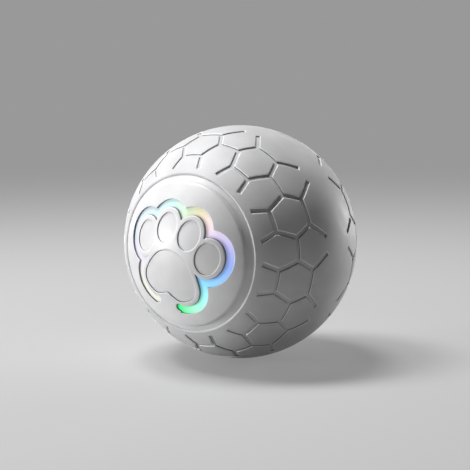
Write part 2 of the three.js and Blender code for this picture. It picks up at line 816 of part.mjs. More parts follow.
function plateScrewPlaces() {
  const z = wallOuter + plateScrewOut;
  const x = Math.sqrt((chassisRadius - plateScrewInset) ** 2 - z ** 2);
  return [[-x, z], [-x, -z], [x, -z]];
}

function makeChassis() {
  const halfWall = Math.sqrt(chassisRadius ** 2 - wallOuter ** 2);
  const wallBase = chassisFront + chassisPlate - clearance;
  const plate = rod(0, 0, chassisRadius, chassisFront, chassisFront + chassisPlate, roundSides);
  const walls = [
    block(-halfWall, halfWall, wallBase, plateFront, wallInner, wallOuter),
    block(-halfWall, halfWall, wallBase, plateFront, -wallOuter, -wallInner),
  ];
  const bosses = plateScrewPlaces().map(([x, z]) => {
    return rod(x, z, screwHole + bossWall, plateFront - plateBossLength, plateFront, screwSides);
  });
  bosses.push(rod(idlerX, idlerZ, pinBossRadius, plateFront - pinBossLength, plateFront));
  const body = joined([plate, ...walls, ...bosses, ...boardPosts()]);
  const cuts = chassisScrewPlaces().map(([x, z]) => {
    return rod(x, z, screwHole, chassisFront - overrun, chassisFront + chassisPlate + overrun, screwSides);
  });
  const screwFloor = plateFront - plateScrewLength - screwTipGap;
  for (const [x, z] of plateScrewPlaces()) {
    cuts.push(rod(x, z, screwHole, screwFloor, plateFront + overrun, screwSides));
  }
  const pinFloor = plateFront - pinBossLength + overrun;
  cuts.push(rod(idlerX, idlerZ, pinRadius + clearance, pinFloor, plateFront + overrun));
  cuts.push(rod(ledLeadX, ledLeadZ(), leadHole, chassisFront - overrun, cellFront + overrun));
  cuts.push(...wallSlots());
  addPiece("chassis", cutBy(body, cuts), { color: 0x3a3b3e, roughness: 0.6, metalness: 0 });
}

// Posts on the upper wall that carry the main board
function boardPosts() {
  const posts = [];
  for (const xSign of [-1, 1]) {
    for (const y of [boardFront, boardBack - postSize]) {
      const x = xSign * (mainBoardWidth / 2 - postSize / 2);
      posts.push(block(x - postSize / 2, x + postSize / 2, y, y + postSize, wallOuter - clearance, boardZ));
    }
  }
  return posts;
}

// Slots in the upper wall for the leads that rise to the main board
function wallSlots() {
  const zLow = wallInner - overrun;
  const zHigh = wallOuter + overrun;
  return Object.values(risingLeads()).map(({ x, y }) => {
    return block(x - leadHole, x + leadHole, y - leadHole, y + leadHole, zLow, zHigh);
  });
}

function makeChassisScrews() {
  const metal = { color: 0x9a9ca0, roughness: 0.35, metalness: 1 };
  chassisScrewPlaces().forEach(([x, z], i) => {
    const tipY = chassisFront + chassisPlate - screwTipGap;
    addPiece(`chassis_screw_${i + 1}`, screw(x, z, -boardOuter, tipY, -1), metal);
  });
  plateScrewPlaces().forEach(([x, z], i) => {
    const solid = screw(x, z, plateBack, plateFront - plateScrewLength, 1);
    addPiece(`gear_plate_screw_${i + 1}`, solid, metal);
  });
}

function makeCellAndBoard() {
  const cell = rod(cellX, 0, cellRadius, cellFront, cellBack, smallRoundSides);
  addPiece("battery_cell", cell, { color: 0x3c63a8, roughness: 0.4, metalness: 0 });
  const halfBoard = mainBoardWidth / 2;
  const board = block(-halfBoard, halfBoard, boardFront, boardBack, boardZ, boardZ + boardThickness);
  addPiece("main_board", board, { color: 0x1f5b3a, roughness: 0.5, metalness: 0 });
  const chipZ = boardZ + boardThickness;
  const chipY = (boardFront + boardBack) / 2;
  const halfChip = chipSize / 2;
  const chip = block(-halfChip, halfChip, chipY - halfChip, chipY + halfChip, chipZ, chipZ + chipHeight);
  addPiece("control_chip", chip, { color: 0x1c1c1e, roughness: 0.5, metalness: 0 });
}

// Drive

function involute(angle) {
  return Math.tan(angle) - angle;
}

// Outline of a gear about (x, z), with a tooth centred at toothTurn, counted from +X towards +Z
function gearOutline(teeth, shift, toothTurn, x, z) {
  const pressure = THREE.MathUtils.degToRad(pressureDeg);
  const pitch = (gearModule * teeth) / 2;
  const base = pitch * Math.cos(pressure);
  const tip = pitch + gearModule * (addendumShare + shift);
  const root = pitch - gearModule * (dedendumShare - shift);
  const thickness = gearModule * (Math.PI / 2 + 2 * shift * Math.tan(pressure)) - backlash;
  const halfAngle = (radius) => {
    const slope = Math.acos(Math.min(base / radius, 1));
    return thickness / (2 * pitch) + involute(pressure) - involute(slope);
  };
  const outline = [];
  for (let tooth = 0; tooth < teeth; tooth += 1) {
    const centre = toothTurn + (2 * Math.PI * tooth) / teeth;
    const flank = [root, pitch, tip].map((radius) => [radius, -halfAngle(radius)]);
    const back = [tip, pitch, root].map((radius) => [radius, halfAngle(radius)]);
    for (const [radius, angle] of [...flank, ...back]) {
      outline.push([x + radius * Math.cos(centre + angle), z + radius * Math.sin(centre + angle)]);
    }
  }
  return outline;
}

// The tooth turn of a gear that meshes with another, which lies in the given direction from it
function meshingTurn(otherTeeth, otherTurn, directionToThis, teeth) {
  const pitchesPast = ((directionToThis - otherTurn) * otherTeeth) / (2 * Math.PI);
  return directionToThis + Math.PI - ((1 / 2 - pitchesPast) * 2 * Math.PI) / teeth;
}

function makeGears() {
  const brassLook = { color: 0xc7a857, roughness: 0.35, metalness: 1 };
  const nylonLook = { color: 0xefece2, roughness: 0.5, metalness: 0 };
  const toIdler = Math.atan2(idlerZ, idlerX);
  const idlerToMotor = Math.atan2(-idlerZ, motorX - idlerX);
  const bore = axleRadius + runningClearance;
  const wheel = prism(gearOutline(wheelTeeth, -shiftShare, 0, 0, 0), stageTwoFront, stageTwoBack);
  const spacer = rod(0, 0, spacerRadius, plateBack + clearance, stageTwoFront + clearance, smallRoundSides);
  const key = rod(0, 0, keyRadius, stageTwoBack - clearance, carrierBack, keySides);
  const outputBore = rod(0, 0, bore, plateBack, carrierBack + overrun, smallRoundSides);
  addPiece("output_gear", cutBy(joined([wheel, spacer, key]), [outputBore]), nylonLook);

  const idlerTurn = meshingTurn(wheelTeeth, 0, toIdler, pinionTeeth);
  const idlerOutline = gearOutline(wheelTeeth, -shiftShare, 0, idlerX, idlerZ);
  const idlerWheel = prism(idlerOutline, stageOneFront, stageOneBack);
  const idlerPinion = prism(
    gearOutline(pinionTeeth, shiftShare, idlerTurn, idlerX, idlerZ),
    stageOneBack - clearance,
    stageTwoBack,
  );
  const idlerHole = pinRadius + runningClearance;
  const idlerBore = rod(idlerX, idlerZ, idlerHole, plateBack, clipFront, smallRoundSides);
  addPiece("idler_gear", cutBy(idlerWheel.add(idlerPinion), [idlerBore]), nylonLook);

  const motorTurn = meshingTurn(wheelTeeth, 0, idlerToMotor, pinionTeeth);
  const motorOutline = gearOutline(pinionTeeth, shiftShare, motorTurn, motorX, 0);
  const motorPinion = prism(motorOutline, stageOneFront, stageOneBack);
  const shaftBore = rod(motorX, 0, motorShaftRadius + clearance, plateBack, stageOneBack + overrun);
  addPiece("motor_pinion", cutBy(motorPinion, [shaftBore]), brassLook);
}

function makeGearSupports() {
  const steelLook = { color: 0xb5b7ba, roughness: 0.3, metalness: 1 };
  const pin = rod(idlerX, idlerZ, pinRadius, plateFront - pinBossLength + overrun + clearance, pinBack);
  addPiece("idler_pin", pin, steelLook);
  const clip = rod(idlerX, idlerZ, clipRadius, clipFront, clipBack);
  const clipBore = rod(idlerX, idlerZ, pinRadius + clearance, clipFront - overrun, clipBack + overrun);
  addPiece("idler_clip", clip.subtract(clipBore), steelLook);

  const plate = rod(0, 0, chassisRadius, plateFront, plateBack, roundSides);
  const bossFront = plateFront - axleBossLength;
  const boss = rod(0, 0, axleBossRadius, bossFront, plateFront + clearance, smallRoundSides);
  const holeFront = plateFront - overrun;
  const holeBack = plateBack + overrun;
  const holes = plateScrewPlaces().map(([x, z]) => rod(x, z, screwHole, holeFront, holeBack, screwSides));
  holes.push(rod(0, 0, axleRadius + clearance, holeFront - axleBossLength, holeBack));
  holes.push(rod(idlerX, idlerZ, pinRadius + clearance, holeFront, holeBack));
  holes.push(rod(motorX, 0, motorShaftRadius + 2 * clearance, holeFront, holeBack));
  addPiece("gear_plate", cutBy(plate.add(boss), holes), { color: 0x3a3b3e, roughness: 0.6, metalness: 0 });

  const axle = rod(0, 0, axleRadius, axleFront, axleBack);
  const axleHole = rod(0, 0, axleBore, axleFront - overrun, axleBack + overrun);
  addPiece("main_axle", axle.subtract(axleHole), steelLook);
  const bushRadius = axleRadius + clearance + bushWall;
  const bush = rod(0, 0, bushRadius, bushFront, axleBack);
  const bushBore = rod(0, 0, axleRadius + clearance, bushFront - overrun, axleBack + overrun);
  addPiece("axle_bush", bush.subtract(bushBore), { color: 0xc7a857, roughness: 0.35, metalness: 1 });
}

function makeMotor() {
  const back = plateFront - motorLength;
  const round = rod(motorX, 0, motorWidth / 2, back, plateFront, smallRoundSides);
  const halfDepth = motorDepth / 2;
  const flats = block(motorX - halfDepth, motorX + halfDepth, back, plateFront, -motorWidth, motorWidth);
  const shaftFront = plateFront - motorShaftBite;
  const bore = rod(motorX, 0, motorShaftRadius + clearance, shaftFront - clearance, plateFront + overrun);
  const can = round.intersect(flats).subtract(bore);
  addPiece("drive_motor", can, { color: 0xa8aaad, roughness: 0.3, metalness: 1 });
  const shaft = rod(motorX, 0, motorShaftRadius, shaftFront, stageOneBack + clearance);
  addPiece("motor_shaft", shaft, { color: 0xb5b7ba, roughness: 0.3, metalness: 1 });
}

// Hanging weight and its carrier

// A sector between two radii, hanging straight down
function hangingSector(inner, outer, halfDeg, yLow, yHigh) {
  const outline = [];
  for (const [radius, direction] of [[outer, 1], [inner, -1]]) {
    for (let step = 0; step <= arcSteps; step += 1) {
      const deg = 180 + direction * halfDeg * (1 - (2 * step) / arcSteps);
      outline.push(aroundAxis(radius, deg));
    }
  }
  return prism(outline, yLow, yHigh);
}

function weightScrewPlaces() {
  return [-1, 1].map((sign) => aroundAxis(carrierReach - weightScrewInset, 180 + sign * weightScrewDeg));
}

function makeWeight() {
  const holeFront = weightBack - weightScrewBite - screwTipGap;
  const holes = weightScrewPlaces().map(([x, z]) => {
    return rod(x, z, screwHole, holeFront, weightBack + overrun, screwSides);
  });
  const weight = hangingSector(weightInner, weightOuter, weightHalfDeg, weightFront, weightBack);
  addPiece("eccentric_weight", cutBy(weight, holes), { color: 0x8b8d91, roughness: 0.4, metalness: 1 });

  const arm = hangingSector(0, carrierReach, carrierHalfDeg, carrierFront, carrierBack);
  const hub = rod(0, 0, carrierHubRadius, carrierFront, hubBack, smallRoundSides);
  const carrierCuts = weightScrewPlaces().map(([x, z]) => {
    return rod(x, z, screwHole, carrierFront - overrun, carrierBack + overrun, screwSides);
  });
  const keyHole = keyRadius + clearance;
  const axleHole = axleRadius + runningClearance;
  carrierCuts.push(rod(0, 0, keyHole, carrierFront - overrun, carrierBack + clearance, keySides));
  carrierCuts.push(rod(0, 0, axleHole, carrierFront, hubBack + overrun, smallRoundSides));
  const carrier = cutBy(arm.add(hub), carrierCuts);
  addPiece("weight_carrier", carrier, { color: 0x55585c, roughness: 0.5, metalness: 0 });
  weightScrewPlaces().forEach(([x, z], i) => {
    const solid = screw(x, z, carrierBack, weightBack - weightScrewBite, 1);
    addPiece(`weight_screw_${i + 1}`, solid, { color: 0x9a9ca0, roughness: 0.35, metalness: 1 });
  });
}

// Leads: each rising lead goes up through a slot in the upper wall to the underside of the main board

function risingLeads() {
  return {
    charge: { x: chargeLeadX, y: axleFront - chargeLeadRun },
    motor: { x: motorX, y: plateFront - motorLength - motorLeadRun },
    battery: { x: cellX, y: boardBack - batteryLeadRun },
  };
}

// The height at which the lights' lead runs under the main board
function ledLeadZ() {
  return boardZ - clearance - leadRadius;
}

function leadRoutes() {
  const { charge, motor, battery } = risingLeads();
  const top = boardZ - clearance;
  const slotMiddle = (wallInner + wallOuter) / 2;
  const motorFront = plateFront - motorLength;
  const rise = ({ x, y }) => [[x, y, slotMiddle], [x, y, top]];
  return {
    charge_lead: [
      [0, axleBack + clearance, 0],
      [0, (axleFront + axleBack) / 2, 0],
      [0, axleFront + leadBend, 0],
      [0, axleFront - clearance, 0],
      [charge.x / 2, axleFront - leadBend, leadBend / 2],
      [charge.x, charge.y, slotMiddle / 2],
      ...rise(charge),
    ],
    motor_lead: [
      [motor.x, motorFront - clearance, 0],
      [motor.x, (motorFront + motor.y) / 2, clearance],
      [motor.x, motor.y, slotMiddle / 2],
      ...rise(motor),
    ],
    battery_lead: [[battery.x, battery.y, cellRadius + clearance], ...rise(battery)],
    led_lead: [
      [ledLeadX, boardFront + leadBend, ledLeadZ()],
      [ledLeadX, chassisFront, ledLeadZ()],
      [ledLeadX, -shelfOuter + clearance, ledLeadZ()],
    ],
  };
}

function makeLeads() {
  for (const [name, route] of Object.entries(leadRoutes())) {
    const points = route.map(([x, y, z]) => new THREE.Vector3(x, y, z));
    const lead = tube(points, leadRadius, leadSides, leadSteps);
    addPiece(name, lead, { color: 0xa33a34, roughness: 0.6, metalness: 0 });
  }
}

makeTreadCover();
makeFrontShell();
makeRearShell();
makeShellFasteners();
makePawCap();
makeLightGuide();
makePawButton();
makeLedBoard();
makeRearCap();
makePortPlug();
makePort();
makeChassis();
makeChassisScrews();
makeCellAndBoard();
makeGears();
makeGearSupports();
makeMotor();
makeWeight();
makeLeads();

export default group;
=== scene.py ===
# %% [markdown]
# # An automatic rolling dog ball
# The ball is 84 mm across. It has a grey rubber tread with a net of hexagon grooves, a smooth cap
# with a glowing paw print on one side, and a plain cap with the charging port on the other. The
# construction model comes in first. It holds every piece at its real size and place, and it stays
# put. What shows from outside, and what lies right behind it, is then modelled again with smooth
# surfaces.

# %% Load the construction model
import json
import math

import bpy
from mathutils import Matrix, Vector
from mathutils.kdtree import KDTree


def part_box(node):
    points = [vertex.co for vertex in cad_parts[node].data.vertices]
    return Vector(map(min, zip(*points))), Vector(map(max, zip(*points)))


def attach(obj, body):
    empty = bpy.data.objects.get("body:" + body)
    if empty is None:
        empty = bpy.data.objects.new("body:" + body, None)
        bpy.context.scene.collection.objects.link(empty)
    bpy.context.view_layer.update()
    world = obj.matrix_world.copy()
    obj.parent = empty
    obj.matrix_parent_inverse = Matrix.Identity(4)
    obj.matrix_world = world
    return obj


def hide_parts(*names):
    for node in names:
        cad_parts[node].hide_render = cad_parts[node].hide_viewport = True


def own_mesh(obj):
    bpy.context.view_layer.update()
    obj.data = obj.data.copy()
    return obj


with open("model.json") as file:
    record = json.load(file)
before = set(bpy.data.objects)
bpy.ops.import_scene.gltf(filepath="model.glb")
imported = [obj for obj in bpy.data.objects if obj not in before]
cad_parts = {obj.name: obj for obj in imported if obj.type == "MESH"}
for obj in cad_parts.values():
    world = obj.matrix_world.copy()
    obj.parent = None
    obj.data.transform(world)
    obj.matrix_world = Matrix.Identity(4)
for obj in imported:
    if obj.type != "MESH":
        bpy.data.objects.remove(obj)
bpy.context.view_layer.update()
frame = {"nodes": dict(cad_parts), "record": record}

print("construction nodes:", len(frame["nodes"]))

# %% [markdown]
# ## Sizes
# The flat drawings are in millimetres, because fine grooves are easier to cut at that scale, and
# each is brought to metres when it is wrapped onto the ball. The roll axis is Y, and the paw cap is
# on the minus side.

# %% Sizes of the ball
MM = 0.001
ball_radius = 42.0
skin_thickness = 2.6
shell_gap = 0.3
shell_thickness = 2.1
ring_depth = 0.7
cap_edge = math.radians(37.5)
tread_edge = math.radians(41.3)
wall_inner = ball_radius - skin_thickness
shell_outer = wall_inner - shell_gap
shell_inner = shell_outer - shell_thickness
cap_radius = ball_radius * math.sin(cap_edge)
cap_inner_radius = wall_inner * math.sin(cap_edge)
print("caps are", round(2 * cap_radius, 1), "mm across")

# %% [markdown]
# ## Working by hand, in code
# Edit mode acts on what is selected, so each step first selects what it needs by place, as a person
# would click on it. These few helpers do the clicking.

# %% Helpers to select and edit
touching = 1e-6
sliver = 1e-7
on_plane = 1e-5


def leave_edit():
    if bpy.context.object and bpy.context.object.mode == "EDIT":
        bpy.ops.object.mode_set(mode="OBJECT")


def only(*pieces):
    """Leave edit mode, with only these pieces selected and the first one active."""
    leave_edit()
    bpy.ops.object.select_all(action="DESELECT")
    for piece in pieces:
        piece.select_set(True)
    if pieces:
        bpy.context.view_layer.objects.active = pieces[0]


def pick(piece, kind, test):
    """Go into edit mode with only those edges or faces selected that pass the test."""
    only(piece)
    mesh = piece.data
    groups = {"VERT": mesh.vertices, "EDGE": mesh.edges, "FACE": mesh.polygons}
    for group in groups.values():
        group.foreach_set("select", [False] * len(group))
    chosen = [item.index for item in groups[kind] if test(item)]
    for index in chosen:
        groups[kind][index].select = True
    bpy.context.tool_settings.mesh_select_mode = [kind == name for name in groups]
    bpy.ops.object.mode_set(mode="EDIT")
    return len(chosen)


def everything(piece):
    only(piece)
    bpy.ops.object.mode_set(mode="EDIT")
    bpy.ops.mesh.select_mode(type="VERT")
    bpy.ops.mesh.select_all(action="SELECT")


def edit_all(piece, operator, **values):
    """Run one edit mode operator on the whole of a piece."""
    everything(piece)
    operator(**values)
    leave_edit()


def merge(piece, distance):
    edit_all(piece, bpy.ops.mesh.remove_doubles, threshold=distance)


def face_outwards(piece):
    edit_all(piece, bpy.ops.mesh.normals_make_consistent, inside=False)


def clean(piece):
    """Merge points that meet, take out faces without an area and turn all faces outwards."""
    merge(piece, touching)
    edit_all(piece, bpy.ops.mesh.dissolve_degenerate, threshold=sliver)
    face_outwards(piece)


def face_up(piece):
    """Turn over the faces of a flat drawing that look down."""
    pick(piece, "FACE", lambda face: face.normal.z < 0)
    bpy.ops.mesh.flip_normals()
    leave_edit()


def extrude(x, y, z):
    """Pull out what is selected by a move."""
    bpy.ops.mesh.extrude_region_move(TRANSFORM_OT_translate={"value": (x, y, z)})


def edge_ends(piece, edge):
    return [piece.data.vertices[index].co for index in edge.vertices]


def ring_edges(count):
    return [(index, (index + 1) % count) for index in range(count)]


def drawn(name, points, edges=(), faces=()):
    """A drawing as a new object."""
    mesh = bpy.data.meshes.new(name)
    mesh.from_pydata([Vector(point) for point in points], list(edges), list(faces))
    mesh.update()
    piece = bpy.data.objects.new(name, mesh)
    bpy.context.scene.collection.objects.link(piece)
    return piece


def new_solid(add, **values):
    """Add a simple shape by its operator, and apply its place and turn."""
    only()
    add(**values)
    bpy.ops.object.transform_apply(location=True, rotation=True, scale=True)
    return bpy.context.object


def joined(name, pieces):
    only(*pieces)
    bpy.ops.object.join()
    pieces[0].name = name
    return pieces[0]


def apply_modifier(piece, kind, **values):
    only(piece)
    modifier = piece.modifiers.new(kind.lower(), kind)
    for key, value in values.items():
        setattr(modifier, key, value)
    bpy.ops.object.modifier_apply(modifier=modifier.name)


def boolean(piece, tool, operation):
    apply_modifier(piece, "BOOLEAN", operation=operation, solver="MANIFOLD", object=tool)
    bpy.data.objects.remove(tool)


def cut_grid(piece, spacing, low, high):
    """Cut a flat drawing along a square grid, so that it can curve."""
    only(piece)
    bpy.ops.object.mode_set(mode="EDIT")
    for axis, normal in enumerate(((1, 0, 0), (0, 1, 0))):
        span = high[axis] - low[axis]
        count = math.ceil(span / spacing)
        for line in range(1, count):
            place = low[axis] + span * line / count
            bpy.ops.mesh.select_all(action="SELECT")
            on_cut = [place * part for part in normal]
            bpy.ops.mesh.bisect(plane_co=on_cut, plane_no=normal, threshold=on_plane)
    bpy.ops.object.mode_set(mode="OBJECT")


def wrap(piece, place):
    """Move each point of a flat drawing to its place on the ball, in metres."""
    for vertex in piece.data.vertices:
        vertex.co = Vector(place(*vertex.co)) * MM


def smooth(piece, sharp_degrees=42):
    """Shade a piece smooth. Its big faces decide the shading, and its small edge faces round it."""
    only(piece)
    bpy.ops.object.shade_smooth_by_angle(angle=math.radians(sharp_degrees))
    apply_modifier(piece, "WEIGHTED_NORMAL", keep_sharp=True, weight=100, mode="FACE_AREA")


def face_counts(piece):
    """How many faces meet at each edge."""
    counts = {}
    for face in piece.data.polygons:
        for key in face.edge_keys:
            counts[key] = counts.get(key, 0) + 1
    return counts


def report(piece):
    triangles = sum(len(face.vertices) - 2 for face in piece.data.polygons)
    unpaired = sum(count != 2 for count in face_counts(piece).values())
    print(piece.name, "triangles:", triangles, "open edges:", unpaired)


def finish(piece, sharp_degrees=42):
    face_outwards(piece)
    smooth(piece, sharp_degrees)
    report(piece)


# %% [markdown]
# ## Tread: one tile, drawn flat
# The tread repeats every 36 degrees and is the same on both halves, so one tile is drawn and
# copied. On the flat, X runs round the ball and Y runs from the equator towards the cap. Each tile
# has one hexagon of grooves, with two stubs towards the cap, two towards the equator, and a link to
# the hexagon on each side. Points are in degrees: round the ball, and away from the paw cap's
# middle. The corner points are worked out so that every groove is equally wide on the ball.

# %% Corner points of the groove net
columns = 10
first_column = math.radians(31.15)
groove_width = 1.95
half_tile = 180 / columns
cap_stub = (10.6, 45.0)
cap_corner = (6.7, 53.1)
side_corner = (11.8, 63.0)
far_corner = (6.65, 71.4)
far_stub = (14.3, 81.0)
next_side = (2 * half_tile - side_corner[0], side_corner[1])


def mirrored(point):
    return (-point[0], point[1])


def shifted(point, across, along):
    """A point in degrees, moved by millimetres on the ball."""
    around = ball_radius * math.sin(math.radians(point[1]))
    return (point[0] + math.degrees(across / around), point[1] + math.degrees(along / ball_radius))


def heading(start, end):
    across = (end[0] - start[0]) * math.sin(math.radians(start[1]))
    return Vector((across, end[1] - start[1])).normalized()


def mitre(point, first, second):
    """The corner between two grooves that leave a point."""
    one, other = heading(point, first), heading(point, second)
    both = (one + other) * (groove_width / 2 / abs(one.cross(other)))
    return shifted(point, both.x, both.y)


def square_end(start, end, side):
    along = heading(start, end) * (groove_width / 2)
    return shifted(end, side * along.y, -side * along.x)


right_points = {
    "top": mitre(cap_corner, mirrored(cap_corner), cap_stub),
    "stub_left": square_end(cap_corner, cap_stub, 1),
    "stub_right": square_end(cap_corner, cap_stub, -1),
    "shoulder": mitre(cap_corner, cap_stub, side_corner),
    "link_over": mitre(side_corner, cap_corner, next_side),
    "border_over": shifted((half_tile, side_corner[1]), 0, -groove_width / 2),
    "border_under": shifted((half_tile, side_corner[1]), 0, groove_width / 2),
    "link_under": mitre(side_corner, next_side, far_corner),
    "hip": mitre(far_corner, side_corner, far_stub),
    "foot_right": square_end(far_corner, far_stub, 1),
    "foot_left": square_end(far_corner, far_stub, -1),
    "bottom": mitre(far_corner, far_stub, mirrored(far_corner)),
    "inner_top": mitre(cap_corner, mirrored(cap_corner), side_corner),
    "inner_side": mitre(side_corner, cap_corner, far_corner),
    "inner_bottom": mitre(far_corner, side_corner, mirrored(far_corner)),
}
print("corner points on each side of a tile:", len(right_points))

# %% [markdown]
# The tile's faces are drawn from those points: the grooves as small faces, the hexagon's inside as
# one, and the smooth rubber above and below the net as two large ones. A minus sign marks a
# mirrored point.

# %% Draw the tile
rim_round = 0.5
tile_top = ball_radius * (tread_edge - math.pi / 2) + rim_round
tile_half_width = ball_radius * math.radians(half_tile)


def on_tile(point):
    across, along = math.radians(point[0]), math.radians(point[1]) - math.pi / 2
    return (ball_radius * across, ball_radius * along, 0)


tile_points = {name: on_tile(point) for name, point in right_points.items()}
tile_points["cap_side"] = (tile_half_width, tile_top, 0)
tile_points["equator_side"] = (tile_half_width, 0, 0)
for name, (x, y, z) in list(tile_points.items()):
    tile_points["-" + name] = (-x, y, z)


def faces_of(*texts):
    return [text.split() for text in texts]


def on_left(face):
    """The mirrored points of a face, in the order that keeps it the same way up."""
    return ["-" + name for name in reversed(face)]


middle_grooves = faces_of(
    "top -top -inner_top inner_top",
    "bottom inner_bottom -inner_bottom -bottom",
)
right_grooves = faces_of(
    "top inner_top shoulder",
    "top shoulder stub_right stub_left",
    "shoulder inner_top inner_side link_over",
    "link_over inner_side link_under",
    "link_over link_under border_under border_over",
    "link_under inner_side inner_bottom hip",
    "hip inner_bottom bottom",
    "hip bottom foot_left foot_right",
)
right_smooth = faces_of(
    "cap_side border_over link_over shoulder stub_right stub_left top",
    "equator_side border_under link_under hip foot_right foot_left bottom",
    "inner_top inner_side inner_bottom",
)
groove_faces = middle_grooves + right_grooves + [on_left(face) for face in right_grooves]
groove_count = len(groove_faces)
named_faces = groove_faces + [face + on_left(face) for face in right_smooth]
names = list(tile_points)
tile_faces = [[names.index(name) for name in face] for face in named_faces]
tread = drawn("tread_cover_smooth", tile_points.values(), faces=tile_faces)
face_up(tread)
print("tile faces:", len(tile_faces), "of which grooves:", groove_count)

# %% [markdown]
# The grooves are sunk as one region by insets, one for each step of the wall's profile: a round
# lip, which catches the light in the photo, then the steep wall, then a round edge of the floor.

# %% Sink the grooves
groove_steps = [(0.06, 0.02), (0.11, 0.09), (0.11, 0.11), (0.02, 0.08)]
groove_steps += [(0.01, 0.18), (0.04, 0.05), (0.05, 0.02)]


def sink(piece, test, steps, borders=False, shortest=0.0):
    """Inset the picked faces step by step. A step is how far in and how far down it goes.

    Edges that get shorter than a length are closed up, before an inset turns them over.
    """
    picked = pick(piece, "FACE", test)
    for inwards, down in steps:
        if shortest > 0:
            bpy.ops.mesh.remove_doubles(threshold=shortest)
        bpy.ops.mesh.inset(
            thickness=inwards, depth=-down, use_even_offset=True, use_boundary=borders
        )
    return picked


print("groove faces sunk:", sink(tread, lambda face: face.index < groove_count, groove_steps))

# %% [markdown]
# The tread ends in a crisp rim next to the cap's ring. The tile's top border is pulled over and
# down in steps, to the underside of the rubber.

# %% Fold the rim down
rim_steps = [(0.08, 0.02), (0.17, 0.15), (0.17, 0.17), (0.08, 0.16)]
rim_steps.append((0, skin_thickness - rim_round))
rim_slack = 0.001
pick(
    tread,
    "EDGE",
    lambda edge: all(abs(end.y - tile_top) < rim_slack for end in edge_ends(tread, edge)),
)
for outwards, down in rim_steps:
    extrude(0, -outwards, -down)
leave_edit()
print("tile faces with its rim:", len(tread.data.polygons))

# %% [markdown]
# A large flat face can't curve, so the tile is cut along a grid about a millimetre wide. Then it is
# copied ten times round by an Array modifier, and to the other half by a Mirror modifier, and
# wrapped onto the ball.

# %% Cut, copy and wrap the tile
tile_grid = 1.1
tile_joint = 0.002
cut_grid(tread, tile_grid, (-tile_half_width, tile_top), (tile_half_width, 0))
apply_modifier(
    tread,
    "ARRAY",
    count=columns,
    use_relative_offset=False,
    use_constant_offset=True,
    constant_offset_displace=(2 * tile_half_width, 0, 0),
    use_merge_vertices=True,
    merge_threshold=tile_joint,
)
apply_modifier(tread, "MIRROR", use_axis=(False, True, False), merge_threshold=tile_joint)


def on_tread(x, y, height):
    lon = first_column + x / ball_radius
    lat = math.pi / 2 + y / ball_radius
    radius = ball_radius + height
    around = radius * math.sin(lat)
    return (around * math.sin(lon), -radius * math.cos(lat), around * math.cos(lon))


wrap(tread, on_tread)
merge(tread, 2 * touching)
report(tread)

# %% [markdown]
# The sheet becomes a solid skin: its two open borders under the rims are bridged on the inside, and
# the new rows are pushed out to the rubber's inner radius.

# %% Close the inside of the tread
inside_rows = 12
inside_limit = (wall_inner + 0.05) * MM
pick(tread, "EDGE", lambda edge: all(end.length < inside_limit for end in edge_ends(tread, edge)))
bpy.ops.mesh.bridge_edge_loops(number_cuts=inside_rows)
leave_edit()
for vertex in tread.data.vertices:
    if vertex.co.length < inside_limit:
        vertex.co = vertex.co.normalized() * wall_inner * MM
finish(tread)

# %% [markdown]
# The finish paints shade onto a groove's steep wall, where shade falls, and a painted highlight
# onto the lip over it. Points on such walls and lips are marked, by their depth under the ball's
# surface, so that the finish can follow.

# %% Mark the groove walls and lips for painted shade and highlight


def mark_depths(piece, name, top, bottom, nearest=0.0, widest=90.0):
    """Mark the points between two depths and between two angles from the roll axis."""
    marks = piece.data.attributes.new(name, "FLOAT", "POINT")
    for vertex, value in zip(piece.data.vertices, marks.data):
        depth = ball_radius - vertex.co.length / MM
        off_axis = math.degrees(math.acos(min(1, abs(vertex.co.y) / vertex.co.length)))
        value.value = 1 if top < depth < bottom and nearest < off_axis < widest else 0
    print("points on each", name, "of", piece.name, sum(value.value > 0 for value in marks.data))


skin_top = 0.01
floor_round = 0.04
groove_lip = 0.25
groove_depth = sum(down for _, down in groove_steps)
past_rim = math.degrees(tread_edge) + 1
# Lip points get a painted highlight in the finish.
mark_depths(tread, "lip", skin_top, groove_lip, past_rim)
# Wall points get painted shade in the finish.
mark_depths(tread, "wall", groove_lip, groove_depth - floor_round, past_rim)

# %% [markdown]
# ## The paw's outlines
# The print has four oval toes and a pad with a notch below. A C-shaped channel follows them at an
# even distance and is open under the pad. The print is turned 13 degrees on its cap. Outlines are
# shares of the ball's radius. An oval is its middle, its half width and its half height.

# %% Toes and pad
paw_turn = math.radians(13)
right_toes = [(0.1125, 0.216, 0.098, 0.127), (0.313, 0.078, 0.1025, 0.1345)]
toes = [(side * toe[0], *toe[1:]) for toe in right_toes for side in (1, -1)]
core = (0, 0.06, 0.27, 0.15)
pad_side = [(0.1235, 0.014), (0.19, -0.0575), (0.2385, -0.1475), (0.26, -0.219)]
pad_side += [(0.2465, -0.2855), (0.2015, -0.3295), (0.125, -0.3585), (0.055, -0.341)]
pad_left = [mirrored(corner) for corner in reversed(pad_side)]
pad_corners = [(0, 0.052), *pad_side, (0, -0.315), *pad_left]
pad_middle = -0.15 * ball_radius


def turned(u, v):
    """A point of the upright print, in millimetres, to its place on the turned one."""
    cos, sin = math.cos(paw_turn), math.sin(paw_turn)
    return Vector((u * cos + v * sin, v * cos - u * sin, 0))


def toe_outline(toe, grow, steps=64):
    u, v, half_width, half_height = [share * ball_radius for share in toe]
    across, along = half_width + grow, half_height + grow
    angles = [2 * math.pi * step / steps for step in range(steps)]
    return [turned(u + across * math.cos(angle), v + along * math.sin(angle)) for angle in angles]


